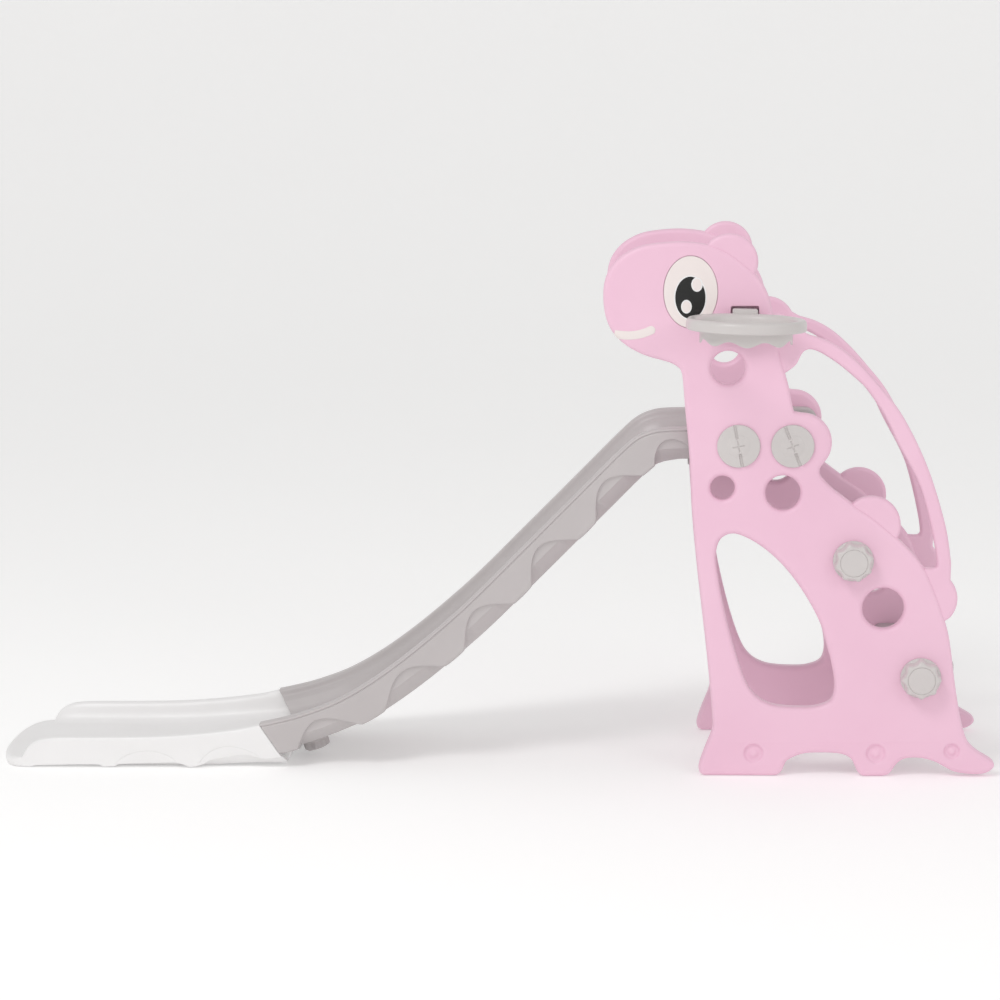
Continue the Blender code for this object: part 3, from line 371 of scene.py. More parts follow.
# %% The slide's plastics
def plastic(name, colour, deep, pale, roughness=(0.36, 0.46), wear=0.5, dust=0.25, grain=900.0, bump=0.05):
    """A moulded plastic from its three paints and its range of roughness."""
    made = bpy.data.materials.new(name)
    made.use_nodes = True
    tree = made.node_tree
    shader = tree.nodes["Principled BSDF"]
    shader.inputs["IOR"].default_value = 1.5
    shader.inputs["Coat Weight"].default_value = 0.08
    shader.inputs["Coat Roughness"].default_value = 0.25
    skin = node(tree, "ShaderNodeGroup", node_tree=GRAIN)
    skin.inputs["Grain Scale"].default_value = grain
    rubbed = node(tree, "ShaderNodeGroup", node_tree=WEAR)
    rubbed.inputs["Amount"].default_value = wear
    dusty = node(tree, "ShaderNodeGroup", node_tree=DUST)
    dusty.inputs["Amount"].default_value = dust
    mottled = node(tree, "ShaderNodeMix", data_type="RGBA")
    mottled.inputs[6].default_value = (*colour, 1)
    mottled.inputs[7].default_value = (*deep, 1)
    paler = node(tree, "ShaderNodeMix", data_type="RGBA")
    paler.inputs[7].default_value = (*pale, 1)
    dusted = node(tree, "ShaderNodeMix", data_type="RGBA")
    dusted.inputs[7].default_value = (*pale, 1)
    spread = node(tree, "ShaderNodeMapRange", {"From Min": 0.35, "From Max": 0.65})
    shine = node(tree, "ShaderNodeMapRange", {"From Min": 0.35, "From Max": 0.65, "To Min": roughness[0],
                                             "To Max": roughness[1]})
    bumps = node(tree, "ShaderNodeBump", {"Strength": bump, "Distance": 0.0006})
    link = tree.links.new
    link(skin.outputs["Mottle"], spread.inputs["Value"])
    link(spread.outputs["Result"], mottled.inputs[0])
    link(mottled.outputs[2], paler.inputs[6])
    link(rubbed.outputs["Mask"], paler.inputs[0])
    link(paler.outputs[2], dusted.inputs[6])
    link(dusty.outputs["Mask"], dusted.inputs[0])
    link(dusted.outputs[2], shader.inputs["Base Color"])
    link(skin.outputs["Mottle"], shine.inputs["Value"])
    link(shine.outputs["Result"], shader.inputs["Roughness"])
    link(skin.outputs["Height"], bumps.inputs["Height"])
    link(bumps.outputs["Normal"], shader.inputs["Normal"])
    return made


PLASTICS = {
    "pink_plastic": plastic("pink_moulding", (0.860, 0.555, 0.690), (0.840, 0.530, 0.668), (0.90, 0.66, 0.77)),
    "grey_plastic": plastic("grey_moulding", (0.525, 0.490, 0.490), (0.500, 0.466, 0.466), (0.62, 0.59, 0.59)),
    "pale_grey_plastic": plastic("pale_grey_moulding", (0.615, 0.580, 0.570), (0.590, 0.556, 0.546),
                                 (0.70, 0.67, 0.66), (0.30, 0.40), grain=1300.0),
    "white_plastic": plastic("white_moulding", (0.860, 0.850, 0.850), (0.840, 0.828, 0.826), (0.90, 0.89, 0.89),
                             (0.34, 0.44)),
    "cream_plastic": plastic("cream_inlay", (0.850, 0.775, 0.755), (0.836, 0.757, 0.735), (0.88, 0.82, 0.80),
                             (0.30, 0.38), wear=0.2, dust=0.1, grain=1500.0, bump=0.03),
    "black_plastic": plastic("black_inlay", (0.0035, 0.0035, 0.0035), (0.006, 0.006, 0.006), (0.02, 0.02, 0.02),
                             (0.22, 0.32), wear=0.1, dust=0.0, grain=1500.0, bump=0.02),
}
print("plastics:", sorted(PLASTICS))

# %% [markdown]
# ## The side panels
#
# Each side is a young dinosaur about 95 cm tall, blown as one hollow piece. Its body is the thickest part;
# the handrail and the round spine plates lie 4 mm lower, so that the body's rounded edge still shows where it
# crosses them. Blown parts have no sharp corners: the outer edge turns over about 8 mm and each hole has a
# soft lip. The outline could be traced with a dense row of points, but a lath through the few places where
# it really bends gives a smoother line.

# %% The panel's outlines
SHOULDER = ((0.116, 0.600), 0.052)
NECK_PLATE = ((0.065, 0.7765), 0.051)
TAIL_PLATE = ((0.342, 0.3205), 0.050)
CREST = ((-0.013, 0.918), 0.050)
BACK_PLATE = ((0.239, 0.453), 0.0515)
LOOP_SPACING = 0.003

front_leg = [(-0.055, 0.0), (-0.063, 0.005), (-0.065, 0.015), (-0.059, 0.036), (-0.051, 0.057),
             (-0.042, 0.080), (-0.040, 0.094), (-0.046, 0.171), (-0.053, 0.240), (-0.060, 0.301),
             (-0.070, 0.390), (-0.078, 0.480), (-0.083, 0.582), (-0.090, 0.660), (-0.095, 0.718)]
throat = [(-0.099, 0.730), (-0.107, 0.737), (-0.118, 0.7425), (-0.135, 0.7475), (-0.153, 0.7525),
          (-0.172, 0.760), (-0.193, 0.772)]
head = [(-0.212, 0.789), (-0.223, 0.805), (-0.231, 0.828), (-0.234, 0.860), (-0.231, 0.887),
        (-0.222, 0.908), (-0.203, 0.929), (-0.171, 0.946), (-0.129, 0.953), (-0.087, 0.954),
        (-0.046, 0.948), (-0.018, 0.937), (0.010, 0.917), (0.033, 0.8965), (0.047, 0.877)]
nape = [(0.056, 0.857), (0.062, 0.832), (0.068, 0.800), (0.075, 0.760), (0.086, 0.719),
        (0.092, 0.697), (0.097, 0.670), (0.101, 0.655)]
spine = [(0.147, 0.554), (0.147, 0.545), (0.155, 0.533), (0.170, 0.518), (0.187, 0.505), (0.211, 0.487),
         (0.238, 0.469), (0.262, 0.449), (0.288, 0.427), (0.315, 0.399), (0.334, 0.374), (0.345, 0.350),
         (0.356, 0.323), (0.366, 0.294), (0.376, 0.260), (0.382, 0.225), (0.387, 0.185), (0.395, 0.133),
         (0.404, 0.089)]
toe = [(0.413, 0.064), (0.424, 0.051), (0.436, 0.042), (0.451, 0.033), (0.4585, 0.027), (0.461, 0.020),
       (0.457, 0.013), (0.449, 0.0075), (0.438, 0.0045), (0.422, 0.004), (0.405, 0.0055), (0.388, 0.009),
       (0.374, 0.016), (0.357, 0.0255), (0.336, 0.032), (0.317, 0.0335), (0.302, 0.0315), (0.292, 0.026),
       (0.284, 0.017), (0.279, 0.009), (0.272, 0.0025), (0.262, 0.0)]
soles = [(0.228, 0.0), (0.220, 0.005), (0.215, 0.014), (0.208, 0.029), (0.197, 0.037), (0.180, 0.041),
         (0.149, 0.042), (0.122, 0.040), (0.105, 0.034), (0.092, 0.026), (0.087, 0.016), (0.082, 0.006),
         (0.073, 0.0)]
BODY = evenly(np.vstack([lath(front_leg + throat + head + nape), arc(SHOULDER, 92, -45), lath(spine + toe),
                         lath(soles)]), LOOP_SPACING, closed=True)

rail_outside = [(0.125, 0.791), (0.1565, 0.781), (0.189, 0.762), (0.2225, 0.7315), (0.253, 0.697),
                (0.2845, 0.658), (0.313, 0.608), (0.338, 0.552), (0.3565, 0.4975), (0.372, 0.439), (0.380, 0.385)]
rail_inside = [(0.3335, 0.3765), (0.350, 0.3765), (0.355, 0.3815), (0.351, 0.414), (0.338, 0.4725),
               (0.325, 0.517), (0.311, 0.548), (0.284, 0.598), (0.2595, 0.648), (0.2265, 0.6965),
               (0.206, 0.716), (0.181, 0.737), (0.156, 0.754), (0.1395, 0.7625), (0.126, 0.765),
               (0.1165, 0.760), (0.110, 0.749), (0.105, 0.739), (0.0975, 0.732), (0.088, 0.725)]
tail_inside_body = [(0.362, 0.275), (0.320, 0.320), (0.315, 0.365)]
neck_inside_body = [(0.065, 0.712), (0.040, 0.740), (0.030, 0.800)]
RAIL = evenly(np.vstack([arc(NECK_PLATE, 110, 26), lath(rail_outside), arc(TAIL_PLATE, 42, -42),
                         tail_inside_body, lath(rail_inside), neck_inside_body]), LOOP_SPACING, closed=True)

LEG_OPENING = evenly(lath([(-0.035, 0.405), (-0.027, 0.428), (-0.007, 0.438), (0.020, 0.430), (0.053, 0.409),
                           (0.086, 0.378), (0.119, 0.334), (0.148, 0.281), (0.161, 0.239), (0.172, 0.197),
                           (0.176, 0.160), (0.169, 0.137), (0.146, 0.1265), (0.119, 0.124), (0.071, 0.1275),
                           (0.044, 0.1385), (0.025, 0.1585), (0.009, 0.195), (-0.009, 0.255), (-0.025, 0.324),
                           (-0.034, 0.380)], closed=True), LOOP_SPACING, closed=True)
print("outline points:", len(BODY), "body,", len(RAIL), "handrail,", len(LEG_OPENING), "leg opening")

# %% [markdown]
# The round holes lighten the panel and give small hands a grip. The three dimples near the feet are marks
# where the two walls of the blown panel are pinched together, each with a little cone left in its middle.
# The eye sits in a shallow tray, and the near panel has a slot that the ball hoop's tab pushes into.

# %% Holes and recesses
ROUND_HOLES = (((-0.015, 0.733), 0.030), ((-0.024, 0.520), 0.0215), ((0.0825, 0.511), 0.031),
               ((0.261, 0.304), 0.037))
DIMPLES = (((0.0325, 0.041), 0.0167), ((0.250, 0.0415), 0.0167), ((0.385, 0.046), 0.0138))
EYE_CENTRE, EYE_HALF = (-0.081, 0.867), np.array((0.047, 0.063))
HOOP_X, TAB_LOW, TAB_HIGH = 0.014, 0.814, 0.838
SLOT_WIDTH, SLOT_PLAY, SLOT_DEPTH = 0.049, 0.004, 0.014
HALF_PANEL = PANEL / 2
PLATE_STEP = 0.004
BODY_ROUND, PLATE_ROUND = 0.008, 0.0065
PARTING = 0.0003


def dimple(centre, radius):
    """Rings of a pinched mark: soft lip, steep wall, flat floor and a blunt cone in the middle."""
    ring = np.array([(radius + 0.0032, 0), (radius + 0.0018, 0.0003), (radius + 0.0006, 0.0011),
                     (radius - 0.0004, 0.0026), (radius - 0.0016, 0.0042), (radius - 0.0032, 0.0050),
                     (0.62 * radius, 0.0050), (0.50 * radius, 0.0044), (0.36 * radius, 0.0028),
                     (0.22 * radius, 0.0019), (0.10 * radius, 0.0016), (0.0, 0.0015)])
    circle = ellipse((0, 0), (1, 1), 48)
    flat = np.array(centre) + ring[:, :1, None] * circle[None]
    height = np.broadcast_to((HALF_PANEL - ring[:, 1])[:, None], flat.shape[:2])
    return np.dstack([flat[..., 0], height, flat[..., 1]])


def tray(loop, depth, lip=0.0008):
    """A pocket with a straight wall: small lip, then down to a flat floor."""
    edge = rounding(lip, 3)
    profile = np.vstack([[lip + FLAT_RIM / 2, 0], edge, [0, depth]])
    return carry(loop, np.column_stack([profile[:, 0], HALF_PANEL - profile[:, 1]]), hole=True)


def side_panel(side):
    """One moulded side: body with its holes, then handrail and spine plates set 4 mm lower."""
    pockets = [dimple(*mark) for mark in DIMPLES] + [tray(ellipse(EYE_CENTRE, EYE_HALF + 0.0009), 0.0032)]
    if side == SIDES["left"]:
        low = (HOOP_X - SLOT_WIDTH / 2, TAB_LOW - SLOT_PLAY)
        high = (HOOP_X + SLOT_WIDTH / 2, TAB_HIGH + SLOT_PLAY)
        slot = evenly(rounded_box(low, high, 0.003), 0.001, closed=True)
        pockets.append(tray(slot, SLOT_DEPTH, 0.0012))
    holes = [LEG_OPENING] + [ellipse(centre, (radius, radius), 80) for centre, radius in ROUND_HOLES]
    shells = slab(BODY, HALF_PANEL, BODY_ROUND, holes, pockets, ridge=PARTING)
    for loop in (RAIL, ellipse(CREST[0], (CREST[1],) * 2, 110), ellipse(BACK_PLATE[0], (BACK_PLATE[1],) * 2, 110)):
        shells += slab(loop, HALF_PANEL - PLATE_STEP, PLATE_ROUND, ridge=PARTING)
    middle = np.array([0, side * (SLIDE_HALF - HALF_PANEL), 0])
    return moved(shells, lambda points: points * (1, side, 1) + middle)


for word, side in SIDES.items():
    finished_piece(f"moulded_side_{word}", side_panel(side), "pink_plastic", node=f"side_panel_{word}")

# %% [markdown]
# ## The face
#
# Eye, pupil and highlights are printed inlays that lie on each other like thin cards. Each is a plate with
# hardly rounded edges, and each lies 0.15 mm higher than the one below, which is enough to keep them apart.

# %% Eyes
PUPIL_CENTRE, PUPIL_HALF = (-0.0815, 0.857), np.array((0.0265, 0.037))
GLINTS = (((-0.070, 0.880), (0.010, 0.0125)), ((-0.0884, 0.8414), (0.0094, 0.012)))
OUTLINE = 0.0021           # white line round the pupil and its highlights
CARD = 0.00015             # each inlay lies this much higher than the one below


def inlay(side, loops, layer, thickness):
    """Thin cards on the panel's outer face; `layer` counts them from the panel outwards."""
    shells = [shell for loop in loops for shell in slab(loop, thickness / 2, thickness * 0.2)]
    top = SLIDE_HALF + CARD * (layer + 1)
    middle = np.array([0, side * (top - thickness / 2), 0])
    return moved(shells, lambda points: points * (1, side, 1) + middle)


for word, side in SIDES.items():
    finished_piece(f"eye_white_{word}", inlay(side, [ellipse(EYE_CENTRE, EYE_HALF, 128)], 0, 0.003),
                   "cream_plastic", node=f"eye_{word}")
    finished_piece(f"pupil_outline_{word}", inlay(side, [ellipse(PUPIL_CENTRE, PUPIL_HALF + OUTLINE)], 1, 0.0012),
                   "white_plastic")
    finished_piece(f"pupil_black_{word}", inlay(side, [ellipse(PUPIL_CENTRE, PUPIL_HALF)], 2, 0.0012),
                   "black_plastic", node=f"pupil_{word}")
    rims = [ellipse(centre, half, 64) for centre, half in GLINTS]
    finished_piece(f"glint_rims_{word}", inlay(side, rims, 3, 0.0012), "white_plastic")
    middles = [ellipse(centre, np.array(half) - OUTLINE, 64) for centre, half in GLINTS]
    finished_piece(f"glints_{word}", inlay(side, middles, 4, 0.0012), "cream_plastic")

# %% [markdown]
# The mouth is a raised stripe that runs over the snout's rounded edge and ends at its silhouette. It is a
# thin pad whose middle line is a lath and whose every point is lifted off the panel along the panel's own
# normal. Near the edge that normal turns outwards, as on a quarter circle.

# %% Mouth stripes
MOUTH_LINE = ((-0.232, 0.7955), (-0.209, 0.7925), (-0.1875, 0.791), (-0.1665, 0.794), (-0.1430, 0.8030))
MOUTH_WIDTH, MOUTH_PROUD = 0.0150, 0.0011


def mouth_pad(side):
    """Rows along the stripe and columns round its flat oval section, laid on the panel's rounded edge."""
    middle = evenly(lath(MOUTH_LINE), 0.0015)
    along = np.gradient(middle, axis=0)
    along /= np.linalg.norm(along, axis=1)[:, None]
    across = np.column_stack([-along[:, 1], along[:, 0]])
    fine = evenly(BODY, 0.0005, closed=True)
    outward = -into_material(fine)
    to_end = np.linalg.norm(middle - middle[-1], axis=1)
    half = MOUTH_WIDTH / 2
    width = half * np.sqrt(1 - np.clip(1 - (to_end + 1e-5) / half, 0, 1)**2)
    angle = np.arange(32) / 32 * 2 * np.pi
    share, lift = np.cos(angle), np.sign(np.sin(angle)) * np.abs(np.sin(angle))**0.6 * MOUTH_PROUD
    flat = middle[:, None] + across[:, None] * (width[:, None] * share[None])[..., None]
    reach = ((flat[:, :, None] - fine[None, None])**2).sum(-1)
    near = reach.argmin(-1)
    inside = np.sum((fine[near] - flat) * outward[near], -1)
    started = np.median(inside, 1) > 0.0002
    flat, near, inside, width = flat[started], near[started], inside[started], width[started]
    flat = flat - outward[near] * np.maximum(-inside, 0)[..., None]
    lean = np.clip((BODY_ROUND - np.maximum(inside, 0)) / BODY_ROUND, 0, 0.999)
    depth = HALF_PANEL - BODY_ROUND + BODY_ROUND * np.sqrt(1 - lean**2)
    thin = lift[None] * np.minimum(1, width / half)[:, None]
    points = np.dstack([flat[..., 0] + outward[near][..., 0] * lean * thin, depth + np.sqrt(1 - lean**2) * thin,
                        flat[..., 1] + outward[near][..., 1] * lean * thin])
    ends = [np.broadcast_to(points[k].mean(0), points[k].shape)[None] for k in (0, -1)]
    shells = [sheet(np.concatenate([ends[0], points, ends[1]]))]
    middle_y = np.array([0, side * (SLIDE_HALF - HALF_PANEL), 0])
    return moved(shells, lambda rows: rows * (1, side, 1) + middle_y)


for word, side in SIDES.items():
    finished_piece(f"mouth_stripe_{word}", mouth_pad(side), "cream_plastic", node=f"mouth_{word}")

# %% [markdown]
# ## Treads and platform
#
# The treads are hollow bars with big round edges, and a threaded round end passes through each panel.
# The platform is a deck between two rims, rolled over at the rear where children climb on, with a ledge in
# front that carries the chute. All of them are outlines seen from the side, carried across the slide.

# %% Treads
TREAD_DEPTH, TREAD_HEIGHT, TREAD_ROUND = 0.122, 0.060, 0.014
STUB_RADIUS, STUB_REACH = 0.0178, 0.020


def tread(centre):
    """A bar with round edges between the panels, and its threaded ends."""
    x, z = centre
    low, high = (x - TREAD_DEPTH / 2, z - TREAD_HEIGHT / 2), (x + TREAD_DEPTH / 2, z + TREAD_HEIGHT / 2)
    loop = evenly(rounded_box(low, high, TREAD_ROUND, 12), 0.002, closed=True)
    shells = slab(loop, INNER - TOUCH, 0.004)
    reach = SLIDE_HALF + STUB_REACH
    stub = ellipse(centre, (STUB_RADIUS, STUB_RADIUS), 64)
    return shells + slab(stub, reach, 0.0012)


finished_piece("upper_step", tread(UPPER_TREAD), "grey_plastic", node="upper_tread")
finished_piece("lower_step", tread(LOWER_TREAD), "grey_plastic", node="lower_tread")

# %% Platform
platform_low, platform_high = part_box("platform")
RAIL_TOP = platform_high[2]
PLATFORM_FRONT, PLATFORM_REAR = -0.050, platform_high[0] - PLACE[0]
DECK_DROP, RIM_WIDTH, ROLL, LEDGE_LENGTH = 0.020, 0.030, 0.024, 0.035
CHUTE_DEPTH = 0.060
LEDGE_TOP = RAIL_TOP - CHUTE_DEPTH - TOUCH
LEDGE_LOW = platform_low[2]
LEDGE_HALF = 0.1273        # the ledge's half width, inside the chute's side walls


def platform_block(top, front, rear_round, half, y, radius=0.003):
    """One block of the platform: a side outline with the rolled rear edge, carried across."""
    roll = ((PLATFORM_REAR - ROLL, RAIL_TOP - ROLL), ROLL)
    start = math.degrees(math.asin(min(1.0, (top - roll[0][1]) / ROLL)))
    loop = np.vstack([[(front, LEDGE_TOP), (front, top)], arc(roll, start, 0, 14),
                      [(PLATFORM_REAR, LEDGE_LOW + rear_round), (PLATFORM_REAR - rear_round, LEDGE_LOW),
                       (front, LEDGE_LOW)]])
    return moved(slab(evenly(loop, 0.0025, closed=True), half, radius), lambda points: points + (0, y, 0))


def platform():
    """Deck, two rims and the ledge in front of them."""
    deck_half = INNER - TOUCH
    shells = platform_block(RAIL_TOP - DECK_DROP, PLATFORM_FRONT, 0.012, deck_half, 0.0)
    for side in SIDES.values():
        shells += platform_block(RAIL_TOP, PLATFORM_FRONT, 0.012, RIM_WIDTH / 2, side * (deck_half - RIM_WIDTH / 2),
                                 0.004)
    tip = PLATFORM_FRONT - LEDGE_LENGTH
    ledge = evenly([(PLATFORM_FRONT + 0.010, LEDGE_TOP), (tip, LEDGE_TOP), (tip, LEDGE_LOW),
                    (PLATFORM_FRONT + 0.010, LEDGE_LOW)], 0.002, closed=True)
    return shells + slab(ledge, LEDGE_HALF, 0.0015)


finished_piece("standing_platform", platform(), "grey_plastic", node="platform")

# %% [markdown]
# ## Nuts, knobs and screws
#
# A hand nut is a round cap with eight soft lobes that fingers can turn. A lathe makes its body: each point of
# the profile is turned about the shaft, and the lobes are added as a bump that repeats eight times a turn.

# %% Lathe with lobes
def local_frame(joint):
    """The joint's place, and three axes: across, up and out along the shaft."""
    out = np.array(joint["axis"], float)
    out /= np.linalg.norm(out)
    across = np.array([1.0, 0.0, 0.0])
    across -= out * (across @ out)
    across /= np.linalg.norm(across)
    return np.array(joint["pos_m"]) - PLACE, np.stack([across, np.cross(out, across), out])


def placed(shells, joint):
    """Turn shells from a fastener's own axes into the slide's."""
    place, axes = local_frame(joint)
    return moved(shells, lambda points: points @ axes + place)


def lathe(profile, lobes=0.0, phase=0.0, count=8, steps=192):
    """Radius and height turned about the axis; the third number is how much of the lobes a point takes."""
    radius, height, share = np.asarray(profile, float).T
    angle = np.arange(steps) / steps * 2 * np.pi
    bump = lobes * (2 * ((1 + np.cos(count * (angle - phase))) / 2)**1.5 - 1)
    reach = np.maximum(radius[:, None] + share[:, None] * bump[None], 0)
    return [sheet(np.dstack([reach * np.cos(angle), reach * np.sin(angle),
                             np.broadcast_to(height[:, None], reach.shape)]))]


# %% Hand nuts
NUT_LOBE = 0.0024
NUT_PHASE = {"upper_tread": math.radians(15), "lower_tread": 0.0}
NUT = [(0, 0.0220, 0), (0.0185, 0.0220, 0), (0.0185, 0.0004, 0), (0.0350, 0.0004, 0), (0.0360, 0.0010, 0),
       (0.0360, 0.0042, 0), (0.0354, 0.0054, 0), (0.0344, 0.0060, 0.2), (0.0337, 0.0072, 0.8),
       (0.0334, 0.0090, 1), (0.0332, 0.0150, 1), (0.0328, 0.0215, 1), (0.0322, 0.0245, 1), (0.0311, 0.0270, 0.9),
       (0.0296, 0.0288, 0.7), (0.0278, 0.0297, 0.4), (0.0262, 0.0300, 0.1), (0.0250, 0.0301, 0),
       (0.0247, 0.0298, 0), (0.0245, 0.0292, 0), (0.0241, 0.0290, 0), (0.0237, 0.0292, 0), (0.0235, 0.0298, 0),
       (0.0231, 0.0301, 0), (0.0215, 0.0302, 0), (0.0120, 0.0304, 0), (0, 0.0305, 0)]

for tread_name in ("upper_tread", "lower_tread"):
    for word in SIDES:
        body = f"{tread_name}_nut_{word}"
        finished_piece(f"lobed_{body}", placed(lathe(NUT, NUT_LOBE, NUT_PHASE[tread_name]), JOINTS[body]),
                       "pale_grey_plastic", body, node=body)

# %% [markdown]
# The knobs under the chute are the same idea turned upside down, with a thin shaft that goes up through the
# white half's tongue into the grey half.

# %% Chute knobs
KNOB = [(0, -0.0198, 0), (0.0100, -0.0198, 0), (0.0146, -0.0197, 0), (0.0150, -0.0192, 0), (0.0155, -0.0190, 0),
        (0.0160, -0.0193, 0), (0.0166, -0.0199, 0.1), (0.0185, -0.0200, 0.5), (0.0203, -0.0193, 0.8),
        (0.0216, -0.0176, 1), (0.0222, -0.0148, 1), (0.0225, -0.0090, 1), (0.0226, -0.0062, 0.8),
        (0.0232, -0.0051, 0.3), (0.0241, -0.0047, 0), (0.0245, -0.0040, 0), (0.0245, -0.0010, 0),
        (0.0240, -0.0005, 0), (0.0082, -0.0004, 0), (0.0080, -0.0002, 0), (0.0080, 0.0130, 0),
        (0.0070, 0.0140, 0), (0, 0.0140, 0)]
for word in SIDES:
    body = f"chute_knob_{word}"
    finished_piece(f"lobed_{body}", placed(lathe(KNOB, 0.0020), JOINTS[body]), "grey_plastic", body, node=body)

# %% [markdown]
# Four big plastic screws hold the platform. A coin turns them: a slot runs in from the rim above and below
# the domed middle, and a small cross marks the centre. Slots and cross are pressed into the head, so the head
# is a height over a disc of radius and angle, minus a soft-edged groove.

# %% Slotted screws
SCREW_RADIUS, SCREW_SHAFT, SCREW_GRIP = 0.038, 0.0125, 0.024
SLOT_HALF, SLOT_FROM, SLOT_CUT = 0.0024, 0.0135, 0.0034
CROSS_HALF, CROSS_REACH, CROSS_CUT = 0.0011, 0.0115, 0.0017
LEANS = {"front": 10.8, "rear": 21.5}


def ramp(value, low, high):
    """Smooth step from 0 at `low` to 1 at `high`."""
    t = np.clip((value - low) / (high - low), 0, 1)
    return t * t * (3 - 2 * t)


def screw_head(lean):
    """Rings of the head from its centre to the rim and down its edge, then the shaft behind it."""
    inner = np.concatenate([np.linspace(0, 0.0165, 34), np.linspace(0.0170, 0.0355, 32)])
    dome = np.where(inner < 0.0165, 0.0064 + 0.0031 * (1 - (inner / 0.0165)**2),
                    0.0050 + 0.0014 * (1 - ramp(inner, 0.0165, 0.0215)))
    edge = np.array([(0.0362, 0.0050), (0.0370, 0.0047), (0.0376, 0.0041), (0.0380, 0.0032), (0.0380, 0.0010),
                     (0.0376, 0.0004), (SCREW_SHAFT, 0.0004)])
    behind = -(PANEL + SCREW_GRIP)
    shaft = np.array([(SCREW_SHAFT, 0.0), (SCREW_SHAFT, behind + 0.002), (SCREW_SHAFT - 0.002, behind), (0, behind)])
    radius = np.concatenate([inner, edge[:, 0], shaft[:, 0]])
    height = np.concatenate([dome, edge[:, 1], shaft[:, 1]])
    angle = np.arange(288) / 288 * 2 * np.pi
    x, y = radius[:, None] * np.cos(angle), radius[:, None] * np.sin(angle)
    turn = math.radians(lean)
    across, along = x * math.cos(turn) + y * math.sin(turn), y * math.cos(turn) - x * math.sin(turn)
    slot = (1 - ramp(np.abs(across), SLOT_HALF - 0.0005, SLOT_HALF + 0.0005)) \
        * ramp(np.abs(along), SLOT_FROM - 0.001, SLOT_FROM + 0.001)
    bar = (1 - ramp(np.abs(across), CROSS_HALF - 0.0004, CROSS_HALF + 0.0005)) \
        * (1 - ramp(np.abs(along), CROSS_REACH - 0.002, CROSS_REACH))
    tie = (1 - ramp(np.abs(along), CROSS_HALF - 0.0004, CROSS_HALF + 0.0005)) \
        * (1 - ramp(np.abs(across), CROSS_REACH - 0.002, CROSS_REACH))
    front = ramp(height, 0.0010, 0.0034)[:, None]
    pressed = height[:, None] - front * (SLOT_CUT * slot + CROSS_CUT * np.maximum(bar, tie))
    return [sheet(np.dstack([x, y, pressed]))]


for place_name, lean in LEANS.items():
    for word in SIDES:
        body = f"platform_screw_{place_name}_{word}"
        finished_piece(f"slotted_{body}", placed(screw_head(lean), JOINTS[body]), "pale_grey_plastic", body,
                       node=body)

# %% [markdown]
# ## The grey chute
#
# The chute is a trough that a child slides down. Its section is carried down the rail's line: flat underside,
# side wall with a wavy lower edge, a bead along the rail, the rounded rail top and then the inner wall with a
# small step. Towards the joint the sections turn, because the joint leans back. The whole sweep is one array:
# distance down the chute by distance round the section.

# %% The chute's line and wave
CHUTE_HALF = INNER - 0.007
UPPER_RUN, JOINT_TOP = 0.8105, 0.082
JOINT_X = PLATFORM_FRONT - UPPER_RUN
JOINT_RAKE, RAKE_LENGTH, JOINT_GAP = 0.40, 0.15, 0.0012
CHUTE_FLOOR = 0.012
BED_DEPTH = CHUTE_DEPTH - CHUTE_FLOOR
CHUTE_LINE = ((0, 1), (0.046, 1), (0.0824, 0.999), (0.1194, 0.9926), (0.1564, 0.9693), (0.1935, 0.922),
              (0.268, 0.810), (0.418, 0.584), (0.5305, 0.416), (0.606, 0.3145), (0.682, 0.221),
              (0.758, 0.1395), (0.834, 0.0755), (0.9105, 0.0325), (0.962, 0.0122), (1, 0))
WAVE_PERIOD, BEND_PERIOD, BEND_LOBES = 0.1645, 0.175, 2
JOINT_LOBE, LOBE_WIDTH, LOBE_HANG, WAVE_TOP, ARCH_POWER = 0.015, 0.045, 0.001, 0.020, 1.05
UNDER_HALF = CHUTE_HALF - 0.034
RECESS_STOP, WAVE_RELIEF = 0.023, 0.005
BELLY = 0.004              # the underside bulges by this much between its two supports

line = np.array(CHUTE_LINE) * (-UPPER_RUN, RAIL_TOP - JOINT_TOP) + (PLATFORM_FRONT - TOUCH, JOINT_TOP)
RAIL_LINE = evenly(lath(line), 0.0035)
RAIL_WAY = np.gradient(RAIL_LINE, axis=0)
RAIL_WAY /= np.linalg.norm(RAIL_WAY, axis=1)[:, None]
RAIL_GONE = np.concatenate([[0], np.cumsum(np.linalg.norm(np.diff(RAIL_LINE, axis=0), axis=1))])
RAKE_SHARE = ramp(RAIL_GONE, RAIL_GONE[-1] - RAKE_LENGTH, RAIL_GONE[-1])
print("rail length", round(RAIL_GONE[-1], 4), "in", len(RAIL_LINE), "stations")


def wave_depth(gone):
    """Lower edge of the side: arches rise as a powered cosine, and short lobes hang between them."""
    bend = [gone[-1] - JOINT_LOBE - BEND_PERIOD * k for k in range(-1, BEND_LOBES + 1)]
    lobes = np.array(bend + [bend[-1] - WAVE_PERIOD * k for k in range(1, 8)])[::-1]
    after = np.clip(np.searchsorted(lobes, gone), 1, len(lobes) - 1)
    low, high = lobes[after - 1], lobes[after]
    half = (high - low - LOBE_WIDTH) / 2
    away = np.abs(gone - (low + high) / 2)
    arch = np.cos(np.pi / 2 * np.clip(away / half, 0, 1))**ARCH_POWER
    lobe = np.sin(np.clip((away - half) / LOBE_WIDTH, 0, 0.5) * np.pi)
    return np.where(away < half, CHUTE_DEPTH - (CHUTE_DEPTH - WAVE_TOP) * arch, CHUTE_DEPTH + LOBE_HANG * lobe)


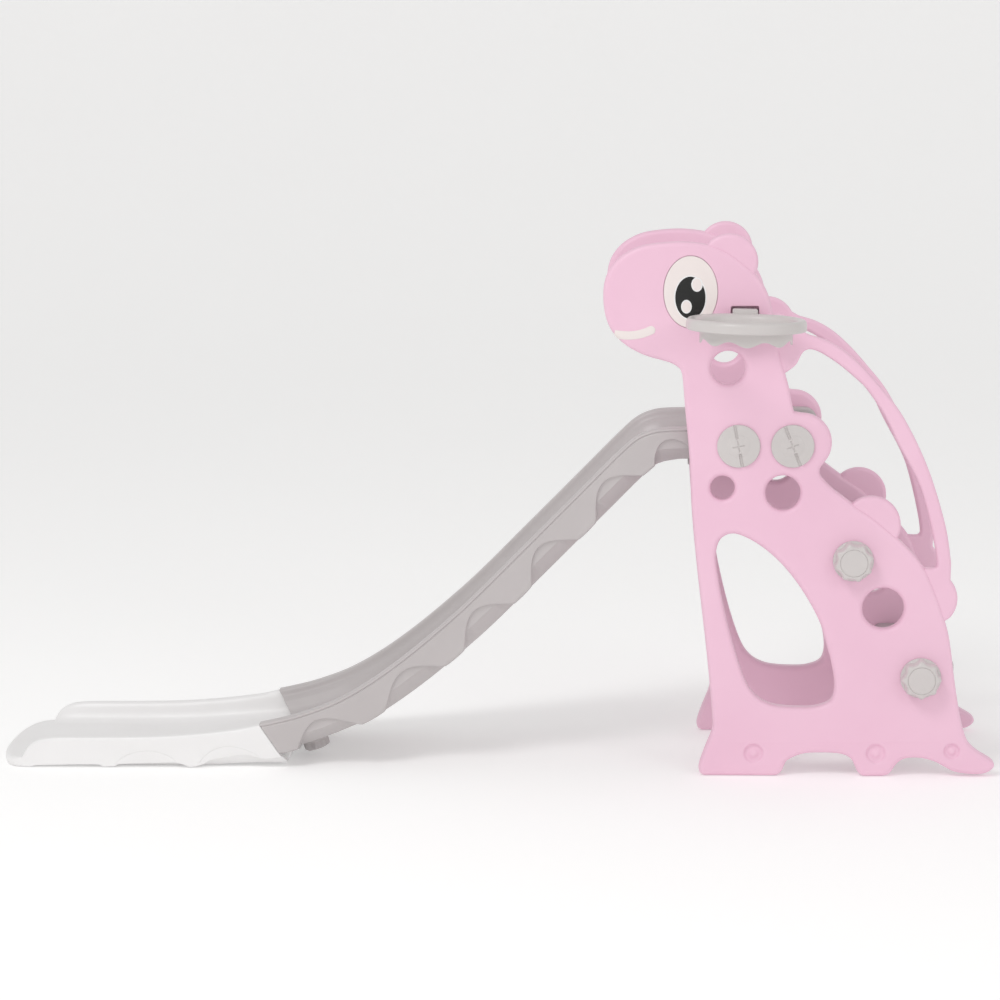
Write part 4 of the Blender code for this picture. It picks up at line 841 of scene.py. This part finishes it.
def chute_point(station, share, y, depth):
    """Points below the rail: down by depth at right angles to it, and back by the rake's share."""
    (x, z), (tx, tz) = RAIL_LINE[station].T, RAIL_WAY[station].T
    back = share[:, None] * JOINT_RAKE * depth
    return np.dstack([x[:, None] - tx[:, None] * back - tz[:, None] * depth, y,
                      z[:, None] - tz[:, None] * back + tx[:, None] * depth])


# %% The grey chute's section and sweep
BEAD = ((0, 0.0120), (0, 0.0100), (0.0002, 0.0088), (0.0008, 0.0078), (0.0018, 0.0070), (0.0022, 0.0063),
        (0.0019, 0.0056), (0.0010, 0.0050), (0.0004, 0.0042), (0.0006, 0.0028), (0.0014, 0.0015), (0.0028, 0.0006),
        (0.0048, 0.0001), (0.0070, 0), (0.0140, 0), (0.0205, 0), (0.0232, 0.0004), (0.0254, 0.0015), (0.0270, 0.0038),
        (0.0281, 0.0075), (0.0291, 0.0110), (0.0308, 0.0140), (0.0336, 0.0161), (0.0366, 0.0174),
        (0.0393, 0.0190), (0.0420, 0.0218), (0.0448, 0.0262), (0.0478, 0.0316), (0.0512, 0.0370),
        (0.0552, 0.0417), (0.0600, 0.0450), (0.0658, 0.0471), (0.0720, 0.0480), (0.1000, 0.0480))
EDGE_EASE = 0.0010         # the chute's ends are eased by this much


def chute_section(wave, under):
    """Half sections as rows of (y, depth), one row for each station, from under the middle to the bed."""
    one = np.ones_like(wave)
    w, in_wall, wall_end = CHUTE_HALF, CHUTE_HALF - WAVE_RELIEF, CHUTE_DEPTH - RECESS_STOP
    deep = np.minimum(np.maximum(wave + 0.002, wall_end), under - 0.0005)
    back = in_wall + (UNDER_HALF - in_wall) * (deep - wall_end) / (under - wall_end)
    lower = [(0 * one, under), (UNDER_HALF * 0.6 * one, under), ((UNDER_HALF - 0.002) * one, under),
             (UNDER_HALF + (back - UNDER_HALF) * 0.12, under + (deep - under) * 0.10), (back, deep),
             (in_wall * one, wave + 0.0018), (in_wall + 0.0006 * one, wave + 0.0006),
             (in_wall + 0.0020 * one, wave), ((w - 0.0016) * one, wave), ((w - 0.0005) * one, wave - 0.0004),
             (w * one, wave - 0.0014), (w * one, wave - 0.0050)]
    upper = [((w - inward) * one, depth * one) for inward, depth in BEAD] + [(0 * one, BED_DEPTH * one)]
    return np.stack([np.stack(pair, 1) for pair in lower + upper], 1)


def both_halves(half):
    """Left half forwards, then right half backwards: one closed ring for each station."""
    return np.concatenate([half * (-1, 1), half[:, ::-1]], 1)


def eased(ring, distance):
    """A ring moved into its own material by a small distance."""
    return ring + into_material(ring) * distance


def upper_chute():
    """All stations at once, then two eased rings at the joint and a cap at each end."""
    belly = ramp(RAIL_GONE, 0.04, 0.10) * (1 - ramp(RAIL_GONE, RAIL_GONE[-1] - 0.21, RAIL_GONE[-1] - 0.13))
    rings = both_halves(chute_section(wave_depth(RAIL_GONE), CHUTE_DEPTH + BELLY * belly))
    stations = np.arange(len(RAIL_LINE))
    rows = chute_point(stations, RAKE_SHARE, rings[..., 0], rings[..., 1])
    distinct = np.linalg.norm(rings[-1] - np.roll(rings[-1], 1, 0), axis=1) > 1e-7
    ring = rings[-1][distinct]
    tip = chute_point(np.array([-1]), np.ones(1), *[eased(ring, EDGE_EASE)[None, :, k] for k in (0, 1)])[0]
    rows[-1] -= np.array([RAIL_WAY[-1][0], 0, RAIL_WAY[-1][1]]) * EDGE_EASE
    end_row = rows[-1][distinct]
    shells = [sheet(rows), sheet(np.stack([end_row, tip])), flat_cap([tip], (1, 2)), flat_cap([rows[0]], (1, 2))]
    return shells


finished_piece("grey_slideway", upper_chute(), "grey_plastic", node="upper_chute")

# %% [markdown]
# ## The white run-out
#
# The lower half levels out and lets the child stop. Its rails fall towards a broad rounded nose. Its side
# walls have the same arches as the grey half, but only as a faint step in the wall, and the wall's lower
# edge lifts off the floor between short feet.

# %% The white chute's section and sweep
LOWER_RUN, LOWER_SILL = 0.434, 0.0023
LOWER_TOPS = ((0, 1), (0.0783, 0.9097), (0.2212, 0.803), (0.4147, 0.7215), (0.6083, 0.6964), (0.8548, 0.6838),
              (0.9101, 0.6524), (0.9539, 0.5583), (0.9816, 0.4266), (1, 0.2300))
LOWER_BED = 0.018
LOWER_BEDS = ((0, 1), (0.2304, 0.375), (0.4608, 0.0625), (1, 0))
LOWER_HEMS = ((0, 0.588), (0.0461, 0.531), (0.1037, 0.814), (0.2074, 0.56), (0.2396, 0.252), (0.288, 0.044),
              (0.3226, 0.273), (0.3687, 0.429), (0.576, 0.319), (0.6106, 0.107), (0.6567, 0.054),
              (0.6912, 0.269), (0.9332, 0.166), (0.9631, 0), (1, 0))
FAINT_ARCHES = ((0.062, 0.050, 0.040), (0.205, 0.062, 0.031))     # (middle, half width, crown height)
FAINT_STEP = 0.0012
SOLE_LIFT = 0.006          # how far the sole is lifted off the floor at the joint
LOWER_HALF = CHUTE_HALF - 0.001
NOSE_LENGTH, NOSE_LAP, NOSE_ROUND, NOSE_POWER = 0.050, 0.012, 0.007, 2.5
NOSE_HALF = LOWER_HALF - 0.0003   # just inside the channel's walls, so no two faces share a plane
TURN_BACK = 0.12


def softly(table, share):
    """Heights along a table of shares, read off a lath through it."""
    smooth = lath(table)
    return np.interp(share, smooth[:, 0], smooth[:, 1])


def lower_section(out):
    """Half sections of the white chute as rows of (y, height), from under the middle to the bed."""
    share = out / LOWER_RUN
    bed = LOWER_BED + softly(LOWER_BEDS, share) * (JOINT_TOP - BED_DEPTH - LOWER_BED)
    top = np.maximum(softly(LOWER_TOPS, share) * (JOINT_TOP - LOWER_SILL), bed + 0.0006)
    hem = np.maximum(softly(LOWER_HEMS, share), 0) * bed
    wall = top - bed
    w, one = LOWER_HALF, np.ones_like(out)
    arch = np.max([np.where(np.abs(out - middle) < half,
                            crown * np.cos(np.clip((out - middle) / half, -1, 1) * np.pi / 2)**0.6, 0)
                   for middle, half, crown in FAINT_ARCHES], axis=0)
    step = FAINT_STEP * ramp(arch, hem + 0.003, hem + 0.008)
    arch = np.maximum(arch, hem + 0.004)
    ease = np.minimum(0.006, wall / 2)
    sole = SOLE_LIFT * (1 - ramp(out, 0.03, 0.12))
    hem = np.maximum(hem, sole + 0.0005)
    rows = [(0 * one, sole), ((w - 0.034) * one, sole), ((w - 0.021) * one, sole),
            ((w - 0.018) * one, sole + (hem - sole) * 0.3), ((w - 0.008) * one, sole + (hem - sole) * 0.9),
            ((w - 0.006) * one, hem),
            (w - 0.0015 - step, hem), (w - 0.0004 - step, hem + 0.0006), (w - step, hem + 0.002),
            (w - step, arch - 0.0006), (w - 0.2 * step, arch + 0.0003), (w * one, arch + 0.0012),
            (w * one, np.maximum(top - ease - 0.002, arch + 0.0016)),
            (w * one, np.maximum(top - ease, arch + 0.0020)), (w - 0.0006 * one, top - 0.45 * ease),
            (w - 0.0022 * one, top - 0.15 * ease), (w - 0.0048 * one, top), (w - 0.0100 * one, top),
            (w - 0.0150 * one, top - 0.02 * wall), (w - 0.0180 * one, top - 0.10 * wall),
            (w - 0.0205 * one, top - 0.25 * wall), (w - 0.0232 * one, top - 0.45 * wall),
            (w - 0.0265 * one, top - 0.66 * wall), (w - 0.0310 * one, top - 0.82 * wall),
            (w - 0.0370 * one, top - 0.93 * wall), (w - 0.0440 * one, top - 0.985 * wall),
            (w - 0.0520 * one, bed), (w - 0.08 * one, bed), (0 * one, bed)]
    return np.stack([np.stack(np.broadcast_arrays(*pair), 1) for pair in rows], 1)


def joint_lean():
    """How far the joint's face leans back for each metre that it drops."""
    tx, tz = RAIL_WAY[-1]
    return (-tx * JOINT_RAKE - tz) / (tz * JOINT_RAKE - tx)


def lower_chute():
    """The channel, a superellipse nose, and the heel and tongue that reach under the grey half."""
    out = np.concatenate([[0, EDGE_EASE], np.arange(0.0035, LOWER_RUN - 0.001, 0.0035), [LOWER_RUN]])
    rings = both_halves(lower_section(out))
    distinct = np.linalg.norm(rings[0] - np.roll(rings[0], 1, 0), axis=1) > 1e-7
    rings = rings[:, distinct]
    rings[0] = eased(rings[0], EDGE_EASE)
    share = np.clip(1 - out / TURN_BACK, 0, None)[:, None]**2
    x = JOINT_X - JOINT_GAP - out[:, None] + share * joint_lean() * (JOINT_TOP - rings[..., 1])
    rows = np.dstack([x, rings[..., 0], rings[..., 1]])
    shells = [sheet(rows), flat_cap([rows[0]], (1, 2)), flat_cap([rows[-1]], (1, 2))]
    return shells + nose() + heel_and_tongue()


def nose():
    """The front edge in plan: |y| and the reach, each to a power, add up to one."""
    end = JOINT_X - JOINT_GAP - LOWER_RUN
    y = np.sin(np.linspace(-np.pi / 2, np.pi / 2, 120)) * NOSE_HALF
    reach = NOSE_LENGTH * np.maximum(1 - np.abs(y / NOSE_HALF)**NOSE_POWER, 0)**(1 / NOSE_POWER)
    plan = np.column_stack([end - reach, y])
    plan = np.vstack([[(end + NOSE_LAP, -NOSE_HALF)], plan, [(end + NOSE_LAP, NOSE_HALF)]])
    half = (LOWER_BED - 0.0002) / 2
    flat = slab(evenly(plan, 0.003, closed=True), half, NOSE_ROUND)
    return moved(flat, lambda points: points[:, (0, 2, 1)] + (0, 0, half))


def underside(start, end, count=12):
    """Points of the grey underside between two distances behind the joint, and the slope at each."""
    last = np.arange(len(RAIL_LINE))
    depth = np.full((len(last), 1), CHUTE_DEPTH)
    below = chute_point(last, RAKE_SHARE, depth * 0, depth)[:, 0]
    order = np.argsort(below[:, 0])
    x = JOINT_X + np.linspace(start, end, count)
    z, beyond = (np.interp(here, below[order, 0], below[order, 2]) for here in (x, x + 0.01))
    return x, z, np.arctan((beyond - z) / 0.01)


def heel_and_tongue():
    """Two plates under the joint, outlines carried across: the heel rests on the floor, the tongue is thin."""
    foot = 0.004
    x, z, _ = underside(0.012, 0.050)
    seat = np.column_stack([x, z - TOUCH])
    rear = [(x[-1] + 0.004, foot + 0.84 * (z[-1] - foot)), (x[-1] + 0.002, foot + 0.34 * (z[-1] - foot)),
            (x[-1] - 0.008, foot)]
    heel = np.vstack([[(x[0] - 0.070, foot), (x[0] - 0.070, (z[0] + foot) / 2)], seat, rear])
    x, z, slope = underside(0.030, 0.118)
    top = np.column_stack([x, z - 2 * TOUCH])
    thick = np.column_stack([x + np.sin(slope) * 0.006, z - np.cos(slope) * 0.006])[::-1]
    half = JOINTS["chute_knob_right"]["pos_m"][1] - PLACE[1] + 0.0245
    x, z, slope = underside(0.028, 0.059)
    under = np.column_stack([x + np.sin(slope) * 0.018, z - np.cos(slope) * 0.018])[::-1]
    boss = np.vstack([np.column_stack([x, z - 3 * TOUCH]), under])
    return slab(evenly(heel, 0.002, closed=True), 0.127, 0.002) \
        + slab(evenly(np.vstack([top, thick]), 0.002, closed=True), half, 0.0015) \
        + slab(evenly(boss, 0.002, closed=True), half - 0.001, 0.003)


finished_piece("white_run_out", lower_chute(), "white_plastic", node="lower_chute")

# %% [markdown]
# ## The ball hoop
#
# A small hoop for soft balls hangs on the near panel. A rolled rim carries a thin scalloped skirt, and a flat
# tab pushes into the panel's slot. The tab has a little play there, so the hoop leans by 1.5 degrees.

# %% Hoop
HOOP_TOP, HOOP_RADIUS, HOOP_STANDOFF = 0.8305, 0.1035, 0.006
SKIRT_DROP, SKIRT_WAVE, SKIRT_WAVES, RIM_HEIGHT = 0.024, 0.0045, 8, 0.020
TAB_WIDTH, TAB_DEPTH, HOOP_LEAN = 0.044, 0.012, 1.5
HOOP_RIM = ((0.1028, -0.0190), (0.1033, -0.0182), (0.1035, -0.0170), (0.1035, -0.0090), (0.1033, -0.0065),
            (0.1027, -0.0042), (0.1015, -0.0022), (0.0998, -0.0009), (0.0975, -0.0002), (0.0955, 0),
            (0.0930, -0.0003), (0.0905, -0.0010), (0.0882, -0.0022), (0.0862, -0.0038), (0.0849, -0.0057),
            (0.0842, -0.0080), (0.0838, -0.0110), (0.0834, -0.0150), (0.0826, -0.0172), (0.0810, -0.0186),
            (0.0785, -0.0194), (0.0770, -0.0202), (0.0765, -0.0215))


def hoop():
    """The rim's profile turned about the hoop's middle, with a hem that rises and falls eight times."""
    angle = np.arange(288) / 288 * 2 * np.pi
    rim = np.array(HOOP_RIM)
    hem = -RIM_HEIGHT - SKIRT_DROP + SKIRT_WAVE * (1 - np.cos(SKIRT_WAVES * angle))
    radius = np.concatenate([rim[:, 0], [0.0765, 0.0765, 0.0769, 0.0782, 0.0796, 0.0800, 0.0800, 0.0802, 0.0812,
                                         0.1010]])
    height = np.concatenate([np.repeat(rim[:, 1:], len(angle), 1),
                             [(-0.0215 + hem) / 2, hem + 0.0012, hem + 0.0004, hem, hem + 0.0004, hem + 0.0012,
                              (-0.0215 + hem) / 2],
                             np.repeat([[-0.0215], [-0.0202], [-0.0200]], len(angle), 1)])
    x, y = radius[:, None] * np.cos(angle), radius[:, None] * np.sin(angle)
    rows = np.dstack([x + HOOP_X, y - SLIDE_HALF - HOOP_STANDOFF - HOOP_RADIUS, height + HOOP_TOP])
    ring = sheet(np.concatenate([rows, rows[:1]]))
    tab = evenly(rounded_box((HOOP_X - TAB_WIDTH / 2, TAB_LOW), (HOOP_X + TAB_WIDTH / 2, TAB_HIGH), 0.003), 0.001,
                 closed=True)
    outside, inside = -SLIDE_HALF - HOOP_STANDOFF - 0.0117, -SLIDE_HALF + TAB_DEPTH
    bracket = moved(slab(tab, (inside - outside) / 2, 0.0012), lambda points: points + (0, (inside + outside) / 2, 0))
    pivot = np.array([HOOP_X, 0, TAB_HIGH - 0.012])
    lean = np.array(Matrix.Rotation(math.radians(HOOP_LEAN), 3, "Y"))
    return moved([ring, *bracket], lambda points: (points - pivot) @ lean.T + pivot)


finished_piece("ball_hoop", hoop(), "pale_grey_plastic", "hoop", node="hoop")

# %% [markdown]
# ## Floor, light and camera
#
# The slide stands on a plain pale floor that curves up far away, so that no horizon shows. The light is
# broad and soft, as in a catalogue studio: an even white surround, one large soft lamp high on the left in
# front, and a weaker one that lifts the right side.

# %% Studio sweep
SWEEP = ((0, 0), (0.5, 0), (3, 0), (7, 0), (9, 0), (10.5, 0.15), (12, 0.65), (13.2, 1.5), (14, 2.7), (14.4, 4.2),
         (14.5, 6.0))


def pale_sweep():
    """A floor that curves up into a wall all round: radius and height of a lath, turned about the vertical."""
    radius, height = lath(SWEEP)[1:].T
    angle = np.arange(128) / 128 * 2 * np.pi
    rows = np.dstack([radius[:, None] * np.cos(angle), radius[:, None] * np.sin(angle),
                      np.broadcast_to(height[:, None] - 0.0006, (len(radius), 128))])
    points, faces = sheet(rows)
    mesh = bpy.data.meshes.new("studio_sweep")
    mesh.from_pydata(points.tolist(), [], faces[:, ::-1].tolist() + [list(range(128))])
    mesh.shade_smooth()
    paint = bpy.data.materials.new("pale_sweep")
    paint.use_nodes = True
    tree = paint.node_tree
    shader = tree.nodes["Principled BSDF"]
    shader.inputs["Specular IOR Level"].default_value = 0.1
    shader.inputs["Roughness"].default_value = 0.8
    shader.inputs["Emission Color"].default_value = (1, 0.998, 0.996, 1)
    shader.inputs["Emission Strength"].default_value = 0.20
    skin = node(tree, "ShaderNodeGroup", node_tree=GRAIN)
    skin.inputs["Mottle Scale"].default_value = 1.5
    tone = node(tree, "ShaderNodeMix", data_type="RGBA")
    tone.inputs[6].default_value = (0.90, 0.898, 0.896, 1)
    tone.inputs[7].default_value = (0.89, 0.887, 0.884, 1)
    tree.links.new(skin.outputs["Mottle"], tone.inputs[0])
    tree.links.new(tone.outputs[2], shader.inputs["Base Color"])
    mesh.materials.append(paint)
    floor = bpy.data.objects.new("studio_sweep", mesh)
    bpy.context.scene.collection.objects.link(floor)
    print("sweep of", len(faces), "faces")


pale_sweep()

# %% Light
def soft_lamp(name, place, target, size, power, colour=(1, 1, 1)):
    """A square area lamp that faces a point."""
    lamp = bpy.data.lights.new(name, "AREA")
    lamp.size, lamp.energy, lamp.color = size, power, colour
    holder = bpy.data.objects.new(name, lamp)
    bpy.context.scene.collection.objects.link(holder)
    holder.location = place
    holder.rotation_mode = "QUATERNION"
    holder.rotation_quaternion = (Vector(target) - Vector(place)).to_track_quat("-Z", "Y")


world = bpy.data.worlds.new("studio_surround")
bpy.context.scene.world = world
world.use_nodes = True
world.node_tree.nodes["Background"].inputs["Color"].default_value = (1.0, 0.995, 0.99, 1)
world.node_tree.nodes["Background"].inputs["Strength"].default_value = 0.62
soft_lamp("key_lamp", (-1.6, -3.0, 4.2), (0.1, 0.0, 0.35), 1.6, 70)
soft_lamp("fill_lamp", (3.2, -3.4, 2.4), (0.2, 0.0, 0.4), 1.6, 15)
bpy.context.scene.view_settings.view_transform = "Standard"
print("two soft lamps and an even surround")

# %% Camera
YAW, PITCH, ROLL_TURN = (math.radians(v) for v in (3.003, 8.483, 0.4))
view = bpy.data.cameras.new("studio_camera")
view.lens, view.sensor_width = 112.0, 36.0
view.clip_end = 100.0
camera = bpy.data.objects.new("studio_camera", view)
bpy.context.scene.collection.objects.link(camera)
camera.matrix_world = Matrix.Translation((0.31614, -5.5575, 1.31055)) @ Matrix.Rotation(ROLL_TURN, 4, "Y") \
    @ Matrix.Rotation(YAW, 4, "Z") @ Matrix.Rotation(math.pi / 2 - PITCH, 4, "X")
bpy.context.scene.camera = camera
print("camera at", [round(v, 3) for v in camera.location], "lens", view.lens)
